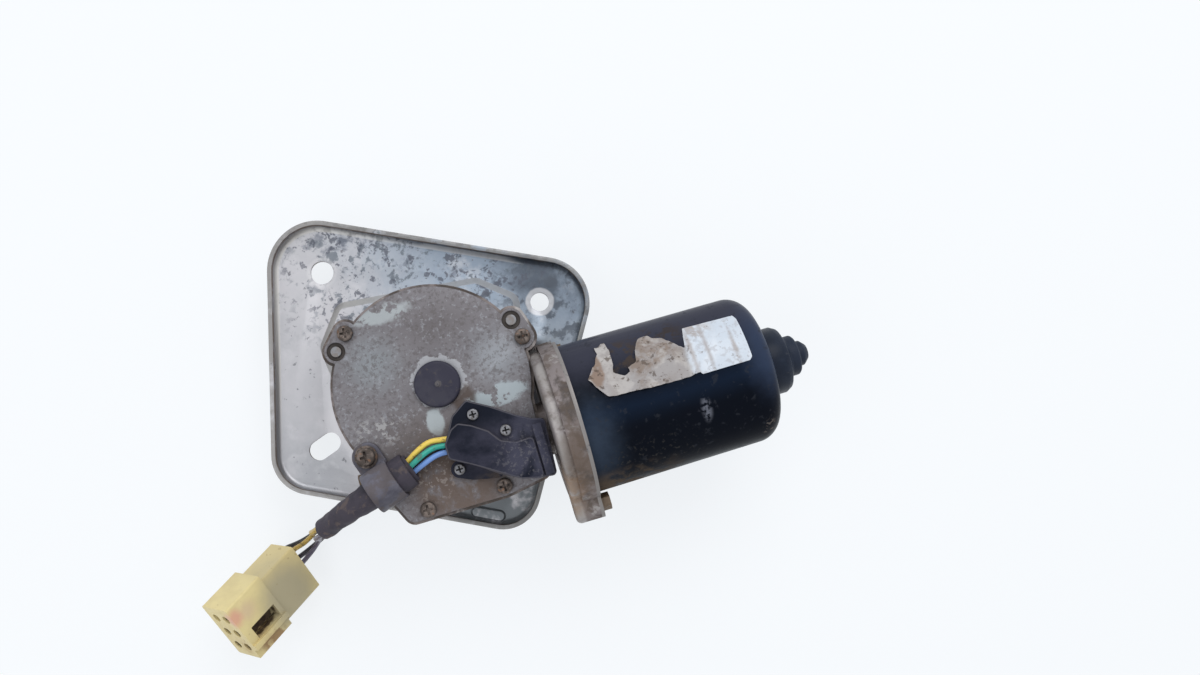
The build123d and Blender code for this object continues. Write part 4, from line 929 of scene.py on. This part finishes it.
@dataclass
class Harness(Assembly):
    """The four wires, the sleeve round them, the clamp and the connector."""

    wire_radius: float = 0.0012
    sleeve_radius: float = 0.0064
    sleeve_wall: float = 0.0014
    crumple: float = 0.0006
    crumple_scale: float = 210.0
    full_end: Pair = (-0.036, 1.06)
    slim_end: Pair = (-0.066, 0.76)
    connector_edge: float = 0.9
    collar_edge: float = 0.4
    strap_edge: float = 0.5

    @staticmethod
    def lay(name: str, points: Sequence[Triple], radius: float, caps: bool = True) -> Piece:
        """Lay a smooth cord along its control points.

        Args:
            name: The piece's name.
            points: The control points, in metres.
            radius: The cord's radius.
            caps: Whether its ends are closed.

        Returns:
            The curve object.
        """
        curve = bpy.data.curves.new(name, "CURVE")
        curve.dimensions = "3D"
        spline = curve.splines.new("NURBS")
        spline.points.add(len(points) - 1)
        for target, point in zip(spline.points, points):
            target.co = (*point, 1.0)
        spline.order_u = 3
        spline.use_endpoint_u = True
        curve.resolution_u = 12
        curve.bevel_depth = radius
        curve.bevel_resolution = 4
        curve.use_fill_caps = caps
        piece = bpy.data.objects.new(name, curve)
        bpy.context.scene.collection.objects.link(piece)
        return piece

    def sleeve(self) -> Piece:
        """Make the vinyl sleeve: an open tube, crumpled a little.

        Returns:
            The sleeve.
        """
        piece = self.lay("wiring_sleeve_dressed", SLEEVE_ROUTE, self.sleeve_radius - 0.0004, caps=False)
        piece.data.resolution_u = 24
        piece.data.bevel_resolution = 8
        activate(piece)
        bpy.ops.object.convert(target="MESH")
        with editing(piece):
            bpy.ops.mesh.remove_doubles(threshold=0.01 * MM)
            bpy.ops.mesh.normals_make_consistent(inside=False)
        for vertex, target in zip(piece.data.vertices, self.slimmed(piece)):
            vertex.co = target
        wall = piece.modifiers.new("wall", "SOLIDIFY")
        wall.thickness = self.sleeve_wall
        wall.offset = -1.0
        apply_modifiers(piece)
        shade_smooth(piece, 50.0)
        self.shop.finish_piece(piece, SLEEVE, "wiring_sleeve")
        return piece

    def slimmed(self, piece: Piece) -> list[Vector]:
        """Work out the sleeve's shape: slimmer towards its free end, and crumpled.

        Args:
            piece: The plain tube.

        Returns:
            The new place of each vertex.
        """
        line = [Vector(point) for point in SLEEVE_ROUTE]
        places = []
        for vertex in piece.data.vertices:
            spots = []
            for start, end in zip(line, line[1:]):
                along = end - start
                share = min(max((vertex.co - start).dot(along) / along.length_squared, 0.0), 1.0)
                spots.append(start + along * share)
            middle = min(spots, key=lambda spot: (vertex.co - spot).length)
            share = (middle.x - self.full_end[0]) / (self.slim_end[0] - self.full_end[0])
            share = min(max(share, 0.0), 1.0)
            size = self.full_end[1] + (self.slim_end[1] - self.full_end[1]) * share
            folds = Vector(noise.noise_vector(vertex.co * self.crumple_scale)) * self.crumple
            places.append(middle + (vertex.co - middle) * size + folds)
        return places

    def build(self) -> None:
        """Make the harness."""
        sleeve = self.sleeve()
        connector = self.shop.refine("connector_housing", NYLON, self.connector_edge, 3)
        self.shop.refine("clamp_collar", SLEEVE, self.collar_edge)
        self.shop.refine("cable_clamp", STRAP, self.strap_edge, 3)
        for colour, points in WIRE_ROUTES.items():
            wire = self.lay(f"wire_{colour}_laid", points, self.wire_radius)
            self.shop.finish_piece(wire, WIRE_FINISHES[colour], f"wire_{colour}")


@dataclass
class MotorCan(Assembly):
    """The black can with its end boot and the torn paper label."""

    can_edge: float = 0.3
    boot_edge: float = 0.4
    axis_y: float = -32.0
    axis_z: float = 38.0
    front_x: float = 52.7
    front_radius: float = 33.6
    taper: float = 0.7
    middle_x: float = 100.0
    label_lift: float = 0.12
    label_wall: float = 0.12
    label_cell: float = 0.55
    torn_end: float = 105.0
    fringe: float = 2.2
    curl: float = 1.9
    curl_scale: float = 0.35
    crease: float = 0.18
    crease_scale: float = 0.9
    label_outline: tuple[Pair, ...] = (
        (106.6, 27.1), (128.4, 26.0), (129.2, 23.5), (129.3, 13.0), (129.4, 4.7), (128.1, 3.3),
        (107.7, 3.3), (106.8, 4.5), (102.2, 3.7), (94.5, 3.8), (85.0, 4.0), (78.7, 4.6), (72.3, 4.8),
        (67.7, 5.3), (64.9, 8.8), (62.1, 13.9), (61.6, 15.1), (66.5, 21.3), (68.9, 26.5), (68.5, 30.3),
        (73.5, 32.6), (74.1, 26.2), (73.6, 18.6), (72.4, 14.9), (76.7, 12.0), (79.3, 13.1),
        (79.0, 15.1), (83.1, 16.8), (84.2, 21.9), (85.8, 25.6), (88.7, 29.3), (92.3, 26.7),
        (98.9, 22.5), (101.0, 19.4), (104.2, 16.1), (105.3, 21.7),
    )

    def radius_at(self, x: float) -> float:
        """Give the can's radius at a place along it, in millimetres."""
        return self.front_radius - (x - self.front_x) * math.tan(math.radians(self.taper))

    @staticmethod
    def nearest_edge(point: Pair, outline: Sequence[Pair]) -> tuple[float, Pair]:
        """Find the nearest place on an outline.

        Args:
            point: The point to measure from.
            outline: The outline's corners.

        Returns:
            The distance and the nearest place.
        """
        best = (math.inf, point)
        for start, end in zip(outline, (*outline[1:], outline[0])):
            along = (end[0] - start[0], end[1] - start[1])
            square = along[0] ** 2 + along[1] ** 2
            share = ((point[0] - start[0]) * along[0] + (point[1] - start[1]) * along[1]) / square
            share = min(max(share, 0.0), 1.0)
            spot = (start[0] + along[0] * share, start[1] + along[1] * share)
            distance = math.hypot(point[0] - spot[0], point[1] - spot[1])
            if distance < best[0]:
                best = (distance, spot)
        return best

    @staticmethod
    def inside(point: Pair, outline: Sequence[Pair]) -> bool:
        """Tell whether a point lies inside an outline.

        Args:
            point: The point.
            outline: The outline's corners.

        Returns:
            True inside it.
        """
        crossings = False
        for start, end in zip(outline, (*outline[1:], outline[0])):
            if (start[1] > point[1]) != (end[1] > point[1]):
                reach = start[0] + (point[1] - start[1]) * (end[0] - start[0]) / (end[1] - start[1])
                if point[0] < reach:
                    crossings = not crossings
        return crossings

    def label(self) -> None:
        """Make the torn label: a sheet cut to its outline, curled at its edge and laid on the can."""
        deselect()
        low = [min(corner[axis] for corner in self.label_outline) for axis in (0, 1)]
        high = [max(corner[axis] for corner in self.label_outline) for axis in (0, 1)]
        counts = [round((high[axis] - low[axis]) / self.label_cell) for axis in (0, 1)]
        bpy.ops.mesh.primitive_grid_add(x_subdivisions=counts[0], y_subdivisions=counts[1], size=1.0)
        piece = bpy.context.object
        piece.name = "torn_label"
        sheet = bmesh.new()
        sheet.from_mesh(piece.data)
        for vertex in sheet.verts:
            vertex.co.x = low[0] + (vertex.co.x + 0.5) * (high[0] - low[0])
            vertex.co.y = low[1] + (vertex.co.y + 0.5) * (high[1] - low[1])
        outside = [face for face in sheet.faces
                   if not self.inside(tuple(face.calc_center_median()[:2]), self.label_outline)]
        bmesh.ops.delete(sheet, geom=outside, context="FACES")
        for vertex in sheet.verts:
            flat = (vertex.co.x, vertex.co.y)
            distance, spot = self.nearest_edge(flat, self.label_outline)
            if vertex.is_boundary:
                flat = spot
                distance = 0.0
            lift = self.label_lift
            if flat[0] < self.torn_end:
                rough = noise.noise(Vector((flat[0] * self.curl_scale, flat[1] * self.curl_scale, 0.0)))
                lift += max(0.0, 1.0 - distance / self.fringe) * self.curl * max(0.0, rough + 0.25)
                fold = noise.noise(Vector((flat[0] * self.crease_scale, flat[1] * self.crease_scale, 3.0)))
                lift += self.crease * max(0.0, fold)
            radius = self.radius_at(flat[0]) + lift
            angle = flat[1] / self.radius_at(flat[0])
            vertex.co = Vector((
                flat[0], self.axis_y + radius * math.sin(angle), self.axis_z + radius * math.cos(angle))) * MM
        sheet.to_mesh(piece.data)
        sheet.free()
        with editing(piece):
            bpy.ops.mesh.normals_make_consistent(inside=False)
        middle = Vector((self.middle_x, self.axis_y, self.axis_z)) * MM
        outward = sum(polygon.normal.dot(polygon.center - middle) for polygon in piece.data.polygons)
        if outward < 0:
            with editing(piece):
                bpy.ops.mesh.flip_normals()
        wall = piece.modifiers.new("wall", "SOLIDIFY")
        wall.thickness = self.label_wall * MM
        wall.offset = 1.0
        apply_modifiers(piece)
        shade_smooth(piece, 60.0)
        self.shop.finish_piece(piece, PAPER)

    def build(self) -> None:
        """Dress the sub-assembly."""
        self.shop.refine("motor_yoke", BLACK_PAINT, self.can_edge)
        self.shop.refine("end_boot", BOOT_RUBBER, self.boot_edge, 3)
        self.label()


@dataclass
class HiddenWorks(Assembly):
    """The pieces inside the gearbox and the motor, and the plain bought-in parts."""

    def build(self) -> None:
        """Dress the sub-assembly."""
        for nodes, finish in INNER_PIECES.items():
            for node in nodes:
                self.shop.coat(node, finish)


# ---- Stage ----


@dataclass
class Stage:
    """The camera, the floor, the lamps and the world."""

    camera_place: Triple = (0.02512, -0.02912, 0.500)
    camera_turn: float = -16.6
    lens: float = 31.12
    shift: Pair = (0.0733, 0.07875)
    floor_size: float = 6.0
    white: Triple = (0.947, 0.973, 1.0)
    floor_lift: float = 0.8
    ambient: float = 0.62
    key_power: float = 6.0
    fill_share: float = 0.45
    aim: Triple = (0.02, -0.01, 0.02)

    def camera(self) -> None:
        """Set the camera over the object, looking straight down."""
        data = bpy.data.cameras.new("camera")
        data.lens = self.lens
        data.sensor_width = 36.0
        data.shift_x, data.shift_y = self.shift
        data.clip_start = 0.01
        data.clip_end = 20.0
        camera = bpy.data.objects.new("camera", data)
        camera.location = self.camera_place
        camera.rotation_euler = (0.0, 0.0, math.radians(self.camera_turn))
        bpy.context.scene.collection.objects.link(camera)
        bpy.context.scene.camera = camera

    def floor(self, height: float) -> None:
        """Lay a plain pale floor.

        Args:
            height: The floor's height, under the object's lowest point.
        """
        deselect()
        bpy.ops.mesh.primitive_plane_add(size=self.floor_size, location=(0.0, 0.0, height))
        floor = bpy.context.object
        floor.name = "floor"
        bpy.ops.object.transform_apply(location=True, rotation=True, scale=True)
        material = bpy.data.materials.new("floor")
        material.use_nodes = True
        graph = Graph(material.node_tree)
        nodes = graph.tree.nodes
        nodes.remove(nodes["Principled BSDF"])
        matt = graph.put("ShaderNodeBsdfDiffuse", {"Color": (*self.white, 1.0)})
        glow = graph.put("ShaderNodeEmission", {"Color": (*self.white, 1.0), "Strength": 1.0})
        share = graph.maths("MULTIPLY", graph.seen_rays(), self.floor_lift)
        mixed = graph.put("ShaderNodeMixShader", {0: share, 1: matt.outputs[0], 2: glow.outputs[0]})
        graph.fill(nodes["Material Output"], {"Surface": mixed.outputs[0]})
        floor.data.materials.append(material)
        floor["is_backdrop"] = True

    def world(self) -> None:
        """Light the object evenly and show a pale background."""
        world = bpy.data.worlds.new("studio")
        world.use_nodes = True
        bpy.context.scene.world = world
        graph = Graph(world.node_tree)
        strength = graph.blend("FLOAT", graph.seen_rays(), self.ambient, 1.0)
        graph.fill(graph.tree.nodes["Background"], {"Color": (*self.white, 1.0), "Strength": strength})

    def lamp(self, name: str, spot: Triple, size: float, power: float) -> None:
        """Hang a soft lamp that points at the object.

        Args:
            name: The lamp's name.
            spot: Its place, in metres.
            size: The side of its square.
            power: Its power in watts.
        """
        data = bpy.data.lights.new(name, "AREA")
        data.size = size
        data.energy = power
        lamp = bpy.data.objects.new(name, data)
        lamp.location = spot
        lamp.rotation_euler = (Vector(self.aim) - Vector(spot)).to_track_quat("-Z", "Y").to_euler()
        bpy.context.scene.collection.objects.link(lamp)

    def build(self, lowest: float) -> None:
        """Set up the whole stage.

        Args:
            lowest: The object's lowest point.
        """
        self.camera()
        self.floor(lowest)
        self.world()
        self.lamp("key", (0.45, 0.65, 0.95), 0.8, self.key_power)
        self.lamp("fill", (-0.7, -0.2, 0.9), 0.9, self.key_power * self.fill_share)
        bpy.context.scene.view_settings.view_transform = "Standard"


def main() -> None:
    """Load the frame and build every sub-assembly."""
    logging.basicConfig(level=logging.INFO, format="%(name)s: %(message)s")
    noise.seed_set(NOISE_SEED)
    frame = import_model()
    deselect()
    cad_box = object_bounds()
    Stage().build(cad_box[0].z)
    shop = Workshop(frame, Effects())
    for kind in (Harness, PlateAndGearbox, TerminalCover, MotorCan, HiddenWorks):
        kind(shop).build()
        LOG.info("%s is built", kind.__name__)


if __name__ == "__main__":
    main()
